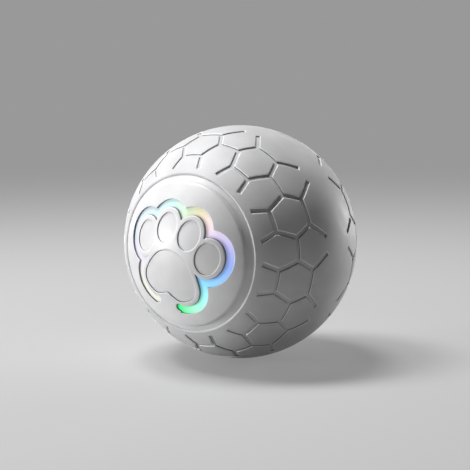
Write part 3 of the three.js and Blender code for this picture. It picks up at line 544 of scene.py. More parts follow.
def curve_between(before, start, end, after, share):
    """A point and a direction on a smooth curve through four points, between the middle two."""
    pairs = ((before, start), (start, end), (end, after))
    one, two, three = [math.sqrt((b - a).length) for a, b in pairs]
    leave = (start - before) / one - (end - before) / (one + two) + (end - start) / two
    reach = (end - start) / two - (after - start) / (two + three) + (after - end) / three
    leave, reach = leave * two, reach * two
    square = 3 * (end - start) - 2 * leave - reach
    cube = 2 * (start - end) + leave + reach
    point = start + leave * share + square * share**2 + cube * share**3
    return point, (leave + 2 * square * share + 3 * cube * share**2).normalized()


def pad_outline(grow, steps=6):
    corners = [Vector(corner) * ball_radius for corner in pad_corners]
    count = len(corners)
    outline = []
    for index in range(count):
        four = [corners[(index + shift) % count] for shift in (-1, 0, 1, 2)]
        for step in range(steps):
            point, along = curve_between(*four, step / steps)
            outline.append(turned(point.x - along.y * grow, point.y + along.x * grow))
    return outline


print("pad outline points:", len(pad_outline(0)))

# %% [markdown]
# The channel's outline is cut out with Boolean modifiers, as one would with cookie cutters: the
# whole paw grown by the channel's outer distance, less the paw grown by its inner distance, less
# the mouth under the pad, plus a round end on each side of the mouth.

# %% Cut out the channel
strip_inner = 1.55
strip_width = 2.8
strip_end = (0.1155 * ball_radius, -0.416 * ball_radius)
outer_height, inner_height, mouth_height, end_height = 1, 3, 5, 0.7
taller = 0.1
outline_merge = 0.02
straight = math.radians(0.5)


def at_height(outline, height):
    return [Vector((point[0], point[1], height)) for point in outline]


def cutter(outline, half_height):
    """A flat outline made into a solid plate, half above the drawing and half below it."""
    plate = drawn("cutter", at_height(outline, -half_height), faces=[range(len(outline))])
    pick(plate, "FACE", lambda face: True)
    extrude(0, 0, 2 * half_height)
    face_outwards(plate)
    return plate


def paw_plate(grow, half_height):
    """Each part is a little taller than the last, because a Boolean dislikes shared planes."""
    plate = cutter(pad_outline(grow), half_height)
    for index, oval in enumerate([core, *toes]):
        boolean(plate, cutter(toe_outline(oval, grow), half_height + taller * (index + 1)), "UNION")
    return plate


def channel_face(gap):
    """The channel as one flat face, slimmer by a gap. It is a slice through the cut plates."""
    plate = paw_plate(strip_inner + strip_width - gap, outer_height)
    boolean(plate, paw_plate(strip_inner + gap, inner_height), "DIFFERENCE")
    end_u, end_v = strip_end
    mouth_side = [(end_u, -ball_radius), (end_u, pad_middle)]
    mouth = [mirrored(corner) for corner in reversed(mouth_side)] + mouth_side
    boolean(plate, cutter([turned(*corner) for corner in mouth], mouth_height), "DIFFERENCE")
    for side in (1, -1):
        round_end = (side * end_u / ball_radius, end_v / ball_radius, 0, 0)
        outline = toe_outline(round_end, strip_width / 2 - gap, steps=32)
        boolean(plate, cutter(outline, end_height + taller * side), "UNION")
    everything(plate)
    bpy.ops.mesh.bisect(
        plane_co=(0, 0, 0), plane_no=(0, 0, 1), use_fill=True, clear_inner=True, clear_outer=True
    )
    bpy.ops.mesh.select_all(action="SELECT")
    bpy.ops.mesh.remove_doubles(threshold=outline_merge)
    bpy.ops.mesh.dissolve_limited(angle_limit=straight)
    face_up(plate)
    return plate


trial = channel_face(0)
print("channel faces:", len(trial.data.polygons), "outline points:", len(trial.data.vertices))
bpy.data.objects.remove(trial)

# %% [markdown]
# ## Rings
# Many edges here are a closed outline repeated at several heights: a toe's wall, the cap's rim, the
# plug. A helper strings such outlines together with four-sided faces, as the Bridge tool does
# between two loops.

# %% Helpers for a row of outlines
level_slack = 1e-4


def rings(outline, profile):
    """An outline at each step of a profile. A step is how much it grows, and its height."""
    return [at_height(outline(grow), height) for grow, height in profile]


def bridged(name, loops, first_face=False, last_face=False):
    size = len(loops[0])
    points = [point for loop in loops for point in loop]
    last = len(points) - size
    faces = []
    for start in range(0, last, size):
        for step, after in ring_edges(size):
            faces.append([start + step, start + after, start + size + after, start + size + step])
    if first_face:
        faces.append(list(range(size)))
    if last_face:
        faces.append(list(range(last, last + size)))
    return drawn(name, points, faces=faces)


def circle(radius, steps=180):
    angles = [2 * math.pi * step / steps for step in range(steps)]
    return [Vector((radius * math.cos(angle), radius * math.sin(angle), 0)) for angle in angles]


def is_level(piece, edge, height):
    return all(abs(end.z - height) < level_slack for end in edge_ends(piece, edge))


def fill_between(piece, height):
    """Fill the flat area between all open loops that lie at a height."""
    counts = face_counts(piece)

    def is_rim(edge):
        return is_level(piece, edge, height) and counts.get(tuple(sorted(edge.vertices)), 0) == 1

    picked = pick(piece, "EDGE", is_rim)
    bpy.ops.mesh.fill(use_beauty=True)
    leave_edit()
    return picked


# %% [markdown]
# ## Paw cap
# The cap is drawn flat and seen from outside: a rim that folds over its edge, four sunk toes, a
# hole for the pad and the channel's opening. Every lip gets the same small round. Then the top and
# the underside are filled in around them, the sheet is cut along a grid and wrapped onto the ball.

# %% Draw the paw cap
cap_rim = [(-0.7, 0), (-0.44, -0.05), (-0.23, -0.16), (-0.08, -0.33), (-0.01, -0.55), (0, -0.75)]
toe_depth = 0.42
lip_width = 0.26
shortest_edge = 0.27
lip = [(lip_width, 0), (0.15, -0.025), (0.05, -0.09), (0, -0.19)]
toe_wall = [*lip, (-0.02, -toe_depth + 0.08), (-0.06, -toe_depth + 0.02), (-0.12, -toe_depth)]
hole_wall = [*lip, (0, -skin_thickness)]
channel_steps = [
    (out - into, high - low) for (out, high), (into, low) in zip(hole_wall, hole_wall[1:])
]

cap_rim_loops = rings(lambda out: circle(cap_radius + out), cap_rim)
cap_rim_loops.append(at_height(circle(cap_inner_radius), -skin_thickness))
cap_parts = [bridged("paw_cap_smooth", cap_rim_loops)]
for toe in toes:
    toe_loops = rings(lambda grow: toe_outline(toe, grow), toe_wall)
    cap_parts.append(bridged("toe", toe_loops, last_face=True))
cap_parts.append(bridged("pad_hole", rings(pad_outline, hole_wall)))
channel = channel_face(-lip_width)
sink(channel, lambda face: True, channel_steps, borders=True, shortest=shortest_edge)
bpy.ops.mesh.delete(type="FACE")
cap_parts.append(channel)
paw_cap = joined("paw_cap_smooth", cap_parts)
print("top loops' edges:", fill_between(paw_cap, 0))
print("underside loops' edges:", fill_between(paw_cap, -skin_thickness))
report(paw_cap)

# %% Wrap the paw cap
flat_grid = 0.8
deep = -4.0


def on_paw_side(x, z, height):
    """Heights down to -4 mm are depths under the surface, and lower ones flat levels behind it."""
    if height < deep:
        return (x, -(ball_radius + height), z)
    return (x, -math.sqrt((ball_radius + height) ** 2 - x * x - z * z), z)


def finish_flat(piece, place, spacing=flat_grid):
    cut_grid(piece, spacing, (-cap_radius, -cap_radius), (cap_radius, cap_radius))
    wrap(piece, place)
    clean(piece)
    smooth(piece)
    report(piece)


cap_lip = 0.12
before_rim = 36
finish_flat(paw_cap, on_paw_side)
# The toes' lip points get a painted highlight in the finish.
mark_depths(paw_cap, "lip", skin_top, cap_lip, widest=before_rim)
# The toes' wall points get painted shade in the finish, as on the tread.
mark_depths(paw_cap, "wall", cap_lip, toe_depth - floor_round, widest=before_rim)

# %% [markdown]
# ## Light guide
# A milky plastic strip fills the channel 0.8 mm under the ball's surface, and glows. It is the
# channel's outline again, a hair slimmer, with a rounded top edge and a flat back near the lights.

# %% Make the light guide
strip_depth = 0.8
strip_gap = 0.03
strip_round = [(0.05, -0.05), (0.08, -0.03)]
strip_round_height = 0.08
strip_grid = 0.45
facing_up = 0.9
guide_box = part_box("light_guide")
back_level = -(ball_radius + guide_box[1].y / MM)
guide = channel_face(strip_gap)
guide.name = "light_guide_smooth"
edit_all(guide, bpy.ops.transform.translate, value=(0, 0, -strip_depth - strip_round_height))
pick(guide, "FACE", lambda face: True)
extrude(0, 0, back_level + strip_depth + strip_round_height)
face_outwards(guide)
sink(guide, lambda face: face.normal.z > facing_up, strip_round)
finish_flat(guide, on_paw_side, spacing=strip_grid)

# %% [markdown]
# The real strip is brighter along its outer edge, and its paw side lies in the shade of the
# channel's inner wall, which the finish paints in as a weaker glow. Each point of the guide is told
# how far across the strip it lies, from 0 on the paw's side to 1 on the outside, so that the finish
# can use it.

# %% Mark the place across the strip
paw_edge = [point for oval in [core, *toes] for point in toe_outline(oval, 0, steps=200)]
paw_edge += pad_outline(0, steps=20)
edge_tree = KDTree(len(paw_edge))
for index, point in enumerate(paw_edge):
    edge_tree.insert(point, index)
edge_tree.balance()
across = guide.data.attributes.new("across", "FLOAT", "POINT")
for vertex, value in zip(guide.data.vertices, across.data):
    flat = Vector((vertex.co.x, vertex.co.z, 0)) / MM
    value.value = (edge_tree.find(flat)[2] - strip_inner) / strip_width
shares = [value.value for value in across.data]
print("across runs from", round(min(shares), 2), "to", round(max(shares), 2))

# %% [markdown]
# ## Paw button
# The pad is the power button. Its face is sunk as deep as the toes, and a lip behind the cap keeps
# it in. It is hollow, with a stem in the middle that reaches the switch.

# %% Make the paw button
button_gap = 0.07
button_lip = 0.9
button_wall = 1.0
roof_level = -4.55
stem_radius = 1.6
stem_level = -(ball_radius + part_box("paw_button")[1].y / MM)
lip_level = stem_level - 0.08
behind_cap = -skin_thickness - 0.3
button_profile = [
    (-0.35, -toe_depth),
    (-0.2, -toe_depth - 0.01),
    (-0.12, -toe_depth - 0.05),
    (-button_gap, -toe_depth - 0.12),
    (-button_gap, behind_cap),
    (button_lip, behind_cap),
    (button_lip, lip_level),
    (-button_wall, lip_level),
    (-button_wall, roof_level),
]
stem_middle = turned(0, pad_middle)
stem_ring = [point + stem_middle for point in circle(stem_radius, steps=32)]
stem_loops = [at_height(stem_ring, level) for level in (roof_level, stem_level)]
button_parts = [
    bridged("button", rings(pad_outline, button_profile), first_face=True),
    bridged("stem", stem_loops, last_face=True),
]
button = joined("paw_button_smooth", button_parts)
print("roof edges:", fill_between(button, roof_level))
finish_flat(button, on_paw_side)

# %% [markdown]
# ## Hard case
# Each half of the case shows only as the flat ring between its cap and the tread. It is a turned
# shape, so its section is drawn once and spun round the roll axis. The screw bosses inside are
# added and drilled afterwards.

# %% Helpers for turned pieces
screw_hole = 1.3


def arc(radius, start, end, step=math.radians(1.5)):
    """Points of a section along the ball, as distances from the axis and along it."""
    count = max(1, math.ceil(abs(end - start) / step))
    angles = [start + (end - start) * index / count for index in range(count + 1)]
    return [(radius * math.sin(angle), radius * math.cos(angle)) for angle in angles]


def spun(name, section, side=1, steps=180):
    """Spin a closed section round the roll axis. Side is 1 for the rear and -1 for the paw."""
    points = [(radius * MM, side * along * MM, 0) for radius, along in section]
    piece = drawn(name, points, edges=ring_edges(len(points)))
    edit_all(
        piece, bpy.ops.mesh.spin, steps=steps, angle=2 * math.pi, center=(0, 0, 0), axis=(0, 1, 0)
    )
    clean(piece)
    return piece


def tube(inner, outer, low, high):
    return spun("tube", [(inner, low), (outer, low), (outer, high), (inner, high)])


def post(place, radius, low, high):
    """A plain round post along the roll axis."""
    return new_solid(
        bpy.ops.mesh.primitive_cylinder_add,
        vertices=32,
        radius=radius * MM,
        depth=(high - low) * MM,
        location=(place[0] * MM, (low + high) / 2 * MM, place[1] * MM),
        rotation=(math.pi / 2, 0, 0),
    )


def drill(piece, place, low, high, radius=screw_hole):
    boolean(piece, post(place, radius, low, high), "DIFFERENCE")


def places_round(radius, *degrees):
    angles = [math.radians(angle) for angle in degrees]
    return [(radius * math.sin(angle), radius * math.cos(angle)) for angle in angles]


# %% Turn the case halves
gap_angle = 0.06 / ball_radius
shelf_near = 26.4
shelf_far = 28.0
flange_thickness = 2.5
flange_width = 5.1
opening_radius = 22.43
boss_radius = 3.2
past = 1
shell_screws = places_round(shell_outer - 4.5, 45, 135, 225, 315)


def case_section(shelf_hole):
    opening_angle = math.asin(opening_radius / shell_outer)
    shelf_angle = math.acos(shelf_near / shell_inner)
    flange_angle = math.acos(flange_thickness / shell_inner)
    return [
        *arc(shell_outer, math.pi / 2, tread_edge - gap_angle),
        *arc(ball_radius - ring_depth, tread_edge - gap_angle, cap_edge + gap_angle),
        *arc(shell_outer, cap_edge + gap_angle, opening_angle),
        (opening_radius, shelf_far),
        (shelf_hole, shelf_far),
        (shelf_hole, shelf_near),
        *arc(shell_inner, shelf_angle, flange_angle),
        (shell_outer - flange_width, flange_thickness),
        (shell_outer - flange_width, 0),
    ]


def case_half(name, side, shelf_hole, boss_reach):
    """Half of the case with its four screw bosses, which end in the middle of its wall."""
    shell = spun(name, case_section(shelf_hole), side)
    wall_middle = arc((shell_outer + shell_inner) / 2, 0, math.pi, step=math.radians(6))
    for place in shell_screws:
        boss = post(place, boss_radius, *sorted((0, side * boss_reach)))
        boolean(boss, spun("wall_middle", wall_middle, steps=60), "INTERSECT")
        boolean(shell, boss, "UNION")
    return shell


# %% Front half, with its seal groove and the chassis screws' holes
seal_outer = shell_outer - 0.9
seal_width = 1.4
thread_depth = 6.5
chassis_screws = places_round(17.5, 90, 193, 295)
front_shell = case_half("front_shell_smooth", -1, shelf_hole=13, boss_reach=9)
for place in shell_screws:
    drill(front_shell, place, -thread_depth, past)
boolean(front_shell, tube(seal_outer - seal_width, seal_outer, -1, 1), "DIFFERENCE")
for place in chassis_screws:
    drill(front_shell, place, -shelf_far - past, -shelf_near + past)
finish(front_shell, sharp_degrees=30)

# %% Rear half, with its axle boss and port bosses
bush_hole = 3.55
boss_wall = 1
boss_root = 27
axle_boss_end = 23.4
port_boss_end = 24.4
hole_floor = 0.3
port_screw_side = 10.9
screw_floor = 4
screw_head_hole = 2.2
rear_shell = case_half("rear_shell_smooth", 1, shelf_hole=bush_hole, boss_reach=18)
boolean(rear_shell, tube(bush_hole, bush_hole + boss_wall, axle_boss_end, boss_root), "UNION")
for place in ((port_screw_side, 0), (-port_screw_side, 0)):
    boolean(rear_shell, post(place, screw_hole + boss_wall, port_boss_end, boss_root), "UNION")
    drill(rear_shell, place, port_boss_end + hole_floor, shelf_far + past)
for place in shell_screws:
    drill(rear_shell, place, -past, screw_floor + past)
    drill(rear_shell, place, screw_floor, ball_radius, screw_head_hole)
finish(rear_shell, sharp_degrees=30)

# %% [markdown]
# ## Rear cap
# The rear cap is the paw cap's plain twin. It has a small flat land with a long recess for the
# port's plug, and a collar behind it that guides the charging plug. A scoop at one end of the
# recess takes a fingernail.

# %% Make the rear cap
land_radius = 9.2
land_margin = 0.3
land_steps = 120
land_level = math.sqrt(ball_radius**2 - land_radius**2)
recess = (13.0, 6.8)
port_hole = (9.54, 3.76)
collar_size = (15.4, 9.2)
plug_low, plug_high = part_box("port_plug")
plug_outer = plug_high.y / MM
plug_seat = plug_outer - 2.2
recess_floor = plug_seat - 0.3
collar_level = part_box("rear_cap")[0].y / MM


def stadium(width, height, steps=20):
    """A long outline with round ends."""
    radius, reach = height / 2, (width - height) / 2
    outline = []
    for side, start in ((1, -math.pi / 2), (-1, math.pi / 2)):
        for step in range(steps + 1):
            angle = start + math.pi * step / steps
            x, z = side * reach + radius * math.cos(angle), radius * math.sin(angle)
            outline.append(Vector((x, z, 0)))
    return outline


def long_rings(size, *profile):
    """Long outlines at a profile's steps: how much one grows, and its level from the centre."""
    width, height = size
    return [
        at_height(stadium(width + 2 * grow, height + 2 * grow), -level) for grow, level in profile
    ]


def on_rear_side(x, z, height):
    """As on the paw side, with the flat land. Levels below the deep mark are from the centre."""
    if height < deep:
        return (-x, -height, z)
    surface = ball_radius + height
    dome = math.sqrt(surface * surface - x * x - z * z)
    if height <= -skin_thickness + 0.01:
        return (-x, dome, z)
    return (-x, min(dome, land_level + height), z)


recess_loops = [
    *long_rings(recess, (0.15, 0), (0.06, 0.03), (0.01, 0.09), (0, 0.18), (0, recess_floor)),
    *long_rings(port_hole, (0, recess_floor), (0, collar_level)),
    *long_rings(collar_size, (0, collar_level), (0, skin_thickness)),
]
land_ring = drawn("land_ring", circle(land_radius, land_steps), edges=ring_edges(land_steps))
rear_parts = [bridged("rear_rim", cap_rim_loops), bridged("recess", recess_loops), land_ring]
rear_cap = joined("rear_cap_smooth", rear_parts)


def top_reach(edge):
    """How far from the middle an edge of the cap's top reaches, or 0 for an edge that is lower."""
    reach = max(end.length for end in edge_ends(rear_cap, edge))
    return reach if is_level(rear_cap, edge, 0) else 0


for near, far in ((land_radius - land_margin, ball_radius), (0, land_radius + land_margin)):
    pick(rear_cap, "EDGE", lambda edge: near < top_reach(edge) < far)
    bpy.ops.mesh.fill(use_beauty=True)
leave_edit()
fill_between(rear_cap, -skin_thickness)
finish_flat(rear_cap, on_rear_side)

# %% Scoop out the nail notch
notch_radius = 2.1
notch_side = 6.5
notch_level = land_level + 0.9
notch = new_solid(
    bpy.ops.mesh.primitive_uv_sphere_add,
    segments=48,
    ring_count=24,
    radius=notch_radius * MM,
    location=(-notch_side * MM, notch_level * MM, 0),
)
boolean(rear_cap, notch, "DIFFERENCE")
smooth(rear_cap)
report(rear_cap)

# %% [markdown]
# ## Port plug
# A soft plug closes the port, just below the land. It has a long rounded head and a slim nose that
# sits in the port's mouth.

# %% Make the port plug
head = (12.4, 6.2)
head_round = [(-0.9, 0), (-0.35, 0.01), (-0.12, 0.1), (-0.02, 0.26), (0.1, 0.5)]
nose = (7.74, 1.96)
nose_tip = plug_low.y / MM
plug_loops = [
    *long_rings(head, *[(grow, plug_outer - down) for grow, down in head_round]),
    *long_rings(head, (0.1, plug_seat + 0.2), (0, plug_seat)),
    *long_rings(nose, (0, plug_seat), (0, nose_tip + 0.3), (-0.25, nose_tip)),
]
plug = bridged("port_plug_smooth", plug_loops, first_face=True, last_face=True)
wrap(plug, on_rear_side)
finish(plug)

# %% [markdown]
# ## Charging port
# With the plug out, the port's metal shell shows, with its tongue inside. The shell is a folded
# tube with a rolled mouth, and the tongue is a slim plate with chamfered edges.

# %% Make the charging port
port_low, port_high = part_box("usb_port")
port_size = (8.94, 3.16)
port_wall = 0.3
port_mouth = port_high.y / MM
port_back = port_low.y / MM
cavity_floor = port_mouth - 5.5
tongue = (3.35, 0.35)
tongue_tip = port_mouth - 1.5
tongue_chamfer = 0.15


def tongue_ring(shrink, level):
    half_width, half_height = tongue[0] - shrink, tongue[1] - shrink
    corners = ((1, -1), (1, 1), (-1, 1), (-1, -1))
    return [Vector((x * half_width, z * half_height, -level)) for x, z in corners]


port_loops = [
    *long_rings(port_size, (0, port_back), (0, port_mouth - 0.1), (-0.05, port_mouth)),
    *long_rings(port_size, (-0.22, port_mouth), (-port_wall, port_mouth - 0.12)),
    *long_rings(port_size, (-port_wall, cavity_floor)),
]
tongue_loops = [
    tongue_ring(0, cavity_floor),
    tongue_ring(0, port_mouth - 1.7),
    tongue_ring(tongue_chamfer, tongue_tip),
]
metal_shell = bridged("port", port_loops, first_face=True)
port = joined("usb_port_smooth", [metal_shell, bridged("tongue", tongue_loops, last_face=True)])
fill_between(port, -cavity_floor)
wrap(port, on_rear_side)
merge(port, touching)
finish(port, sharp_degrees=35)

# %% [markdown]
# ## Button spring
# Under the pad a coil of steel wire pushes it back out. A coil is a wire's round section that turns
# round an axis and moves along it, which a Screw modifier does. Its ends are closed, and it stands
# where the solid one does.

# %% Make the button spring
spring_low, spring_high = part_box("button_spring")
spring_middle = (spring_low + spring_high) / 2
spring_length = spring_high.y - spring_low.y
spring_turns = 5
turn_steps = 24
wire_radius = 0.25 * MM
coil_radius = 4.2 * MM
spring = new_solid(
    bpy.ops.mesh.primitive_circle_add, vertices=10, radius=wire_radius, location=(coil_radius, 0, 0)
)
spring.name = "button_spring_smooth"
apply_modifier(
    spring,
    "SCREW",
    axis="Y",
    screw_offset=(spring_length - 2 * wire_radius) / spring_turns,
    iterations=spring_turns,
    steps=turn_steps,
    render_steps=turn_steps,
)
everything(spring)
bpy.ops.mesh.fill_holes(sides=0)
bpy.ops.transform.translate(value=(spring_middle.x, spring_low.y + wire_radius, spring_middle.z))
finish(spring)

# %% [markdown]
# ## Finishes
# Every finish starts from the Principled shader, with its plain numbers set on its own sockets.
# Noise in the piece's own coordinates adds what moulding and handling leave: a fine grain in the
# surface, a slight drift in colour, and patches that are a little shinier.

# %% Helpers for shader nodes
finishes = {}


def linear(channel):
    return channel / 12.92 if channel <= 0.04045 else ((channel + 0.055) / 1.055) ** 2.4


def paint(red, green, blue):
    """A colour as it looks on the screen, for a shader socket."""
    return (linear(red), linear(green), linear(blue), 1)


def even(value):
    """The same number in red, green and blue, to multiply a colour with."""
    return (value, value, value, 1)


def new_finish(name):
    material = bpy.data.materials.new(name)
    material.use_nodes = True
    finishes[name] = material
    return material.node_tree, material.node_tree.nodes["Principled BSDF"]


def feed(tree, node, inputs):
    """Set a node's inputs. Each one gets a plain value or another node's output."""
    for name, value in inputs.items():
        if isinstance(value, bpy.types.NodeSocket):
            tree.links.new(value, node.inputs[name])
        else:
            node.inputs[name].default_value = value


def add_node(tree, kind, inputs, **settings):
    node = tree.nodes.new(kind)
    for key, value in settings.items():
        setattr(node, key, value)
    feed(tree, node, inputs)
    return node.outputs


def add_place(tree):
    return add_node(tree, "ShaderNodeTexCoord", {})["Object"]


def add_attribute(tree, name):
    return add_node(tree, "ShaderNodeAttribute", {}, attribute_name=name)["Fac"]


def add_noise(tree, scale, detail):
    inputs = {"Vector": add_place(tree), "Scale": scale, "Detail": detail}
    return add_node(tree, "ShaderNodeTexNoise", inputs)["Fac"]


def add_range(tree, value, old, new, **settings):
    sockets = ("Value", "From Min", "From Max", "To Min", "To Max")
    inputs = dict(zip(sockets, (value, *old, *new)))
    return add_node(tree, "ShaderNodeMapRange", inputs, **settings)["Result"]


def add_mix(tree, factor, low, high, blend="MIX"):
    inputs = {"Factor": factor, "A": low, "B": high}
    return add_node(tree, "ShaderNodeMix", inputs, data_type="RGBA", blend_type=blend)["Result"]


# %% [markdown]
# Noise mostly lies between 0.3 and 0.7, so it is stretched from there to the range that it should
# cover. Each kind of noise has a scale, in patches a metre, and a number of finer layers.

# %% Moulded and metal finishes
noise_range = (0.3, 0.7)
drift_noise = (90, 3)
shine_noise = (220, 4)
grain_layers = 2
shine_spread = 0.05
grain_height = 0.02 * MM
# How dark the painted shade on the marked walls is.
painted_shade_share = 0.16


def moulded(name, colour, roughness, grain=0.1, grain_scale=2500, drift=0.03, metallic=0, coat=0):
    tree, shader = new_finish(name)
    darker, paler = [
        paint(*[min(1, channel * (1 + change)) for channel in colour]) for change in (-drift, drift)
    ]
    drifting = add_range(tree, add_noise(tree, *drift_noise), noise_range, (0, 1))
    dull_range = (roughness - shine_spread, roughness + shine_spread)
    grained = {
        "Strength": grain,
        "Distance": grain_height,
        "Height": add_noise(tree, grain_scale, grain_layers),
    }
    inputs = {
        "Metallic": metallic,
        "Coat Weight": coat,
        "Base Color": add_mix(tree, drifting, darker, paler),
        "Roughness": add_range(tree, add_noise(tree, *shine_noise), noise_range, dull_range),
        "Normal": add_node(tree, "ShaderNodeBump", grained)["Normal"],
    }
    feed(tree, shader, inputs)


def shade_marked(name, attribute, share):
    """Paint shade or a highlight into a finish, darker or paler where a piece's attribute says so.
    """
    tree = finishes[name].node_tree
    shader = tree.nodes["Principled BSDF"]
    colour = shader.inputs["Base Color"].links[0].from_socket
    shaded = add_mix(tree, add_attribute(tree, attribute), colour, even(share), "MULTIPLY")
    feed(tree, shader, {"Base Color": shaded})


moulded("grey_rubber", (0.83, 0.83, 0.835), 0.56, grain=0.35, grain_scale=3200)
moulded("white_plastic", (0.88, 0.88, 0.885), 0.4, grain=0.15, grain_scale=4200)
moulded("black_rubber", (0.09, 0.09, 0.095), 0.7)
moulded("plug_rubber", (0.74, 0.74, 0.75), 0.62, grain=0.3)
moulded("black_plastic", (0.13, 0.13, 0.14), 0.5, grain=0.3)
moulded("green_board", (0.1, 0.36, 0.22), 0.4, drift=0.08)
moulded("led_white", (0.95, 0.94, 0.86), 0.3)
moulded("gear_nylon", (0.93, 0.92, 0.88), 0.45)
moulded("gear_brass", (0.78, 0.66, 0.36), 0.32, metallic=1, grain=0.2)
moulded("screw_steel", (0.68, 0.69, 0.7), 0.35, metallic=1)
moulded("bright_steel", (0.76, 0.77, 0.78), 0.27, metallic=1, grain=0.2)
moulded("weight_steel", (0.56, 0.57, 0.58), 0.4, metallic=1, grain=0.4)
moulded("cell_wrap", (0.24, 0.4, 0.68), 0.3, coat=0.3)
moulded("lead_red", (0.68, 0.2, 0.18), 0.45)
# Both finishes get painted shade on the marked walls and a painted highlight on the marked lips.
for name, painted_highlight_share in (("grey_rubber", 1.42), ("white_plastic", 1.25)):
    shade_marked(name, "wall", painted_shade_share)
    shade_marked(name, "lip", painted_highlight_share)
print("finishes:", len(finishes))

# %% [markdown]
# ## The glowing strip
# Seven lights of different colours shine into the strip, and the colours run into each other. A
# gradient that turns round the middle of the paw gives the place along the strip, and a colour ramp
# gives its colour there. Each stop is an angle, a colour and a brightness, and a second ramp gives
# that brightness. The light then fades towards the paw, partly as the real strip does and partly as
# painted shade from the channel's inner wall.

# %% Make the strip's glow
glow_middle = -0.03 * ball_radius
milkiness = 0.75
# The glow's fade towards the paw, which also paints the inner wall's shade onto the strip.
glow_fade_across = (-0.1, 0.6)
glow_fade_power = (0.45, 1.05)
glow_stops = [
    (165, (0.9, 0.95, 1), 0.1),
    (190, (0.95, 0.92, 1), 0.18),
    (225, (1, 1, 0.95), 0.28),
    (262, (1, 1, 0.95), 0.32),
    (283, (0.2, 1, 0.55), 0.6),
    (302, (0.65, 1, 0.8), 0.7),
    (322, (0.65, 1, 0.95), 0.7),
    (340, (0.55, 0.85, 1), 0.7),
    (10, (0.6, 0.72, 1), 0.7),
    (32, (0.82, 0.8, 1), 0.66),
    (55, (1, 0.92, 0.95), 0.5),
    (72, (1, 0.95, 0.8), 0.42),
    (88, (0.9, 1, 0.87), 0.35),
    (110, (0.87, 1, 1), 0.25),
    (140, (0.9, 0.97, 1), 0.15),
]


def add_ramp(tree, angle, stops):
    """A colour ramp along a gradient that goes from 0 to 1 between -180 and 180 degrees."""
    ramp = tree.nodes.new("ShaderNodeValToRGB")
    stops = sorted((((degrees + 180) % 360) / 360, colour) for degrees, colour in stops)
    elements = ramp.color_ramp.elements
    elements[0].position, elements[1].position = stops[0][0], stops[-1][0]
    for share, _ in stops[1:-1]:
        elements.new(share)
    for element, (_, colour) in zip(elements, stops):
        element.color = colour
    feed(tree, ramp, {"Fac": angle})
    return ramp.outputs["Color"]


def glowing(name):
    tree, shader = new_finish(name)
    centring = {
        "Vector": add_place(tree),
        "Rotation": (-math.pi / 2, 0, paw_turn),
        "Location": (0, -glow_middle * MM, 0),
    }
    centred = {"Vector": add_node(tree, "ShaderNodeMapping", centring)["Vector"]}
    angle = add_node(tree, "ShaderNodeTexGradient", centred, gradient_type="RADIAL")["Fac"]
    tint = add_ramp(tree, angle, [(degrees, paint(*colour)) for degrees, colour, _ in glow_stops])
    light = add_ramp(tree, angle, [(degrees, even(power)) for degrees, _, power in glow_stops])
    place = add_attribute(tree, "across")
    # Dimmer towards the paw: partly the real glow, partly painted shade from the channel's inner
    # wall.
    lit = add_range(tree, place, glow_fade_across, glow_fade_power, interpolation_type="SMOOTHSTEP")
    power = add_node(tree, "ShaderNodeMath", {0: light, 1: lit}, operation="MULTIPLY")["Value"]
    inputs = {
        "Roughness": 0.35,
        "Base Color": add_mix(tree, 1, tint, even(milkiness), "MULTIPLY"),
        "Emission Color": tint,
        "Emission Strength": power,
    }
    feed(tree, shader, inputs)


glowing("light_strip")
print("glow colours:", len(glow_stops))

# %% [markdown]
# ## Dress the pieces
# Each construction node takes the finish of its slot in the record. Each smooth piece has a node's
# name with an ending. It takes the same slot, rides on the same body, and stands for that node.

# %% Give every piece its finish


def dress(piece, slot):
    piece.data.materials.clear()
    piece.data.materials.append(finishes[slot])


slots = {part["node"]: part["material_slot"] for part in frame["record"]["subparts"]}
for node, slot in slots.items():
    dress(frame["nodes"][node], slot)

smooth_pieces = [tread, paw_cap, guide, front_shell, rear_shell, rear_cap]
smooth_pieces += [port, spring, button, plug]
riding = {"paw_button": "pad", "port_plug": "plug"}
for piece in smooth_pieces:
    node = piece.name.removesuffix("_smooth")
    slot, body = slots[node], riding.get(node, "ball")
    dress(piece, slot)
    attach(piece, body)
    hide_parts(node)
print("smooth pieces:", len(smooth_pieces))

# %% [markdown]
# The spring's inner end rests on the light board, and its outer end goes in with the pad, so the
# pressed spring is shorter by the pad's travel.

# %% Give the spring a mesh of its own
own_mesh(spring)
print("spring length:", round(spring_length / MM, 2))

# %% [markdown]
# ## Floor and light
# The floor is plain and pale, and a little darker to the camera than to the ball. Away from the
# ball it fades to the backdrop, so that no horizon shows.

# %% Floor and backdrop
floor_size = 80
backdrop = paint(0.6, 0.6, 0.6)
floor_seen = paint(0.66, 0.66, 0.66)
floor_bouncing = paint(0.7, 0.7, 0.7)
floor_glow = paint(0.5, 0.5, 0.5)
fade_range = (0.15, 0.65)


def seen_rays(tree):
    """1 for the camera's rays, straight or by way of a shiny or clear piece, and 0 for others."""
    rays = add_node(tree, "ShaderNodeLightPath", {})
    value = rays["Is Camera Ray"]
    for kind in ("Is Glossy Ray", "Is Transmission Ray"):
        both = {0: value, 1: rays[kind]}
        value = add_node(tree, "ShaderNodeMath", both, operation="MAXIMUM")["Value"]
    return value


def floor_finish(name):
    tree, shader = new_finish(name)
    rays = seen_rays(tree)
    spot = {0: add_place(tree)}
    distance = add_node(tree, "ShaderNodeVectorMath", spot, operation="LENGTH")["Value"]
    fade = add_range(tree, distance, fade_range, (0, 1), interpolation_type="SMOOTHSTEP")
    inputs = {
        "Roughness": 0.8,
        "Specular IOR Level": 0,
        "Base Color": add_mix(tree, rays, floor_bouncing, add_mix(tree, fade, floor_seen, even(0))),
        "Emission Color": add_mix(tree, fade, floor_glow, backdrop),
        "Emission Strength": rays,
    }
    feed(tree, shader, inputs)


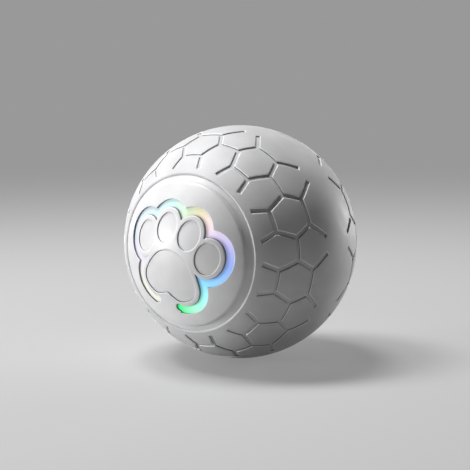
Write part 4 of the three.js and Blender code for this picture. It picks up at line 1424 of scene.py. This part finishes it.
only()
bpy.ops.mesh.primitive_plane_add(size=floor_size, location=(0, 0, -ball_radius * MM))
floor = bpy.context.object
floor.name = "floor"
floor_finish("floor_pale")
floor.data.materials.append(finishes["floor_pale"])

# %% [markdown]
# Three soft lamps stand on the left, two high and one low, so the paw side is bright and the ball
# falls into shade towards the right. A lamp behind the ball draws a light rim on its right side. A
# lamp's brightness is how bright a white card would look that faces it at the ball.

# %% World and lamps
world = bpy.data.worlds.new("studio")
world.use_nodes = True
bpy.context.scene.world = world
world_tree = world.node_tree
world_light = paint(0.07, 0.07, 0.07)
world_colour = add_mix(world_tree, seen_rays(world_tree), world_light, backdrop)
feed(world_tree, world_tree.nodes["Background"], {"Color": world_colour})

lamp_distance = 0.8
lamp_size = 0.25
lamps = [
    ("key_high", -60, 60, 0.58),
    ("key_top", -90, 75, 0.52),
    ("key_low", -42, 0, 0.96),
    ("rim", 165, 3, 0.5),
]


def direction(azimuth, elevation):
    """Away from the ball. Azimuth 0 is in front of the paw cap, and 90 is on the plus X side."""
    across, up = math.radians(azimuth), math.radians(elevation)
    return Vector((math.sin(across) * math.cos(up), -math.cos(across) * math.cos(up), math.sin(up)))


def placed(name, data, place, looking):
    """A lamp or a camera at a place, turned to look along a direction."""
    piece = bpy.data.objects.new(name, data)
    bpy.context.scene.collection.objects.link(piece)
    piece.location = place
    piece.rotation_euler = looking.to_track_quat("-Z", "Y").to_euler()
    return piece


for name, azimuth, elevation, brightness in lamps:
    light = bpy.data.lights.new(name, "AREA")
    light.shape = "DISK"
    light.size = lamp_size
    light.energy = brightness * (math.pi * lamp_distance) ** 2
    away = direction(azimuth, elevation)
    placed(name, light, away * lamp_distance, -away)
print("lamps:", len(lamps))

# %% [markdown]
# ## Camera
# The camera stands where the photo's did: 35 degrees round from the paw cap, 9 degrees up and 639
# mm away. It aims a little beside the ball's middle, which is a little right of and below the
# middle of the photo.

# %% Set up the camera
camera_distance = 639 * MM
aim_right = -1.95 * MM
aim_up = 2.38 * MM
camera_azimuth = 34.82
camera_elevation = 8.93
away = direction(camera_azimuth, camera_elevation)
camera_right = direction(camera_azimuth + 90, 0)
camera_up = away.cross(camera_right)
camera_place = away * camera_distance
aim = aim_right * camera_right + aim_up * camera_up
camera_data = bpy.data.cameras.new("camera")
camera_data.sensor_width = 36
camera_data.lens = 135.4
camera_data.clip_start = 0.01
camera = placed("camera", camera_data, camera_place, aim - camera_place)
bpy.context.scene.camera = camera
bpy.context.scene.view_settings.view_transform = "Standard"
print("camera up:", [round(value, 3) for value in camera_up])
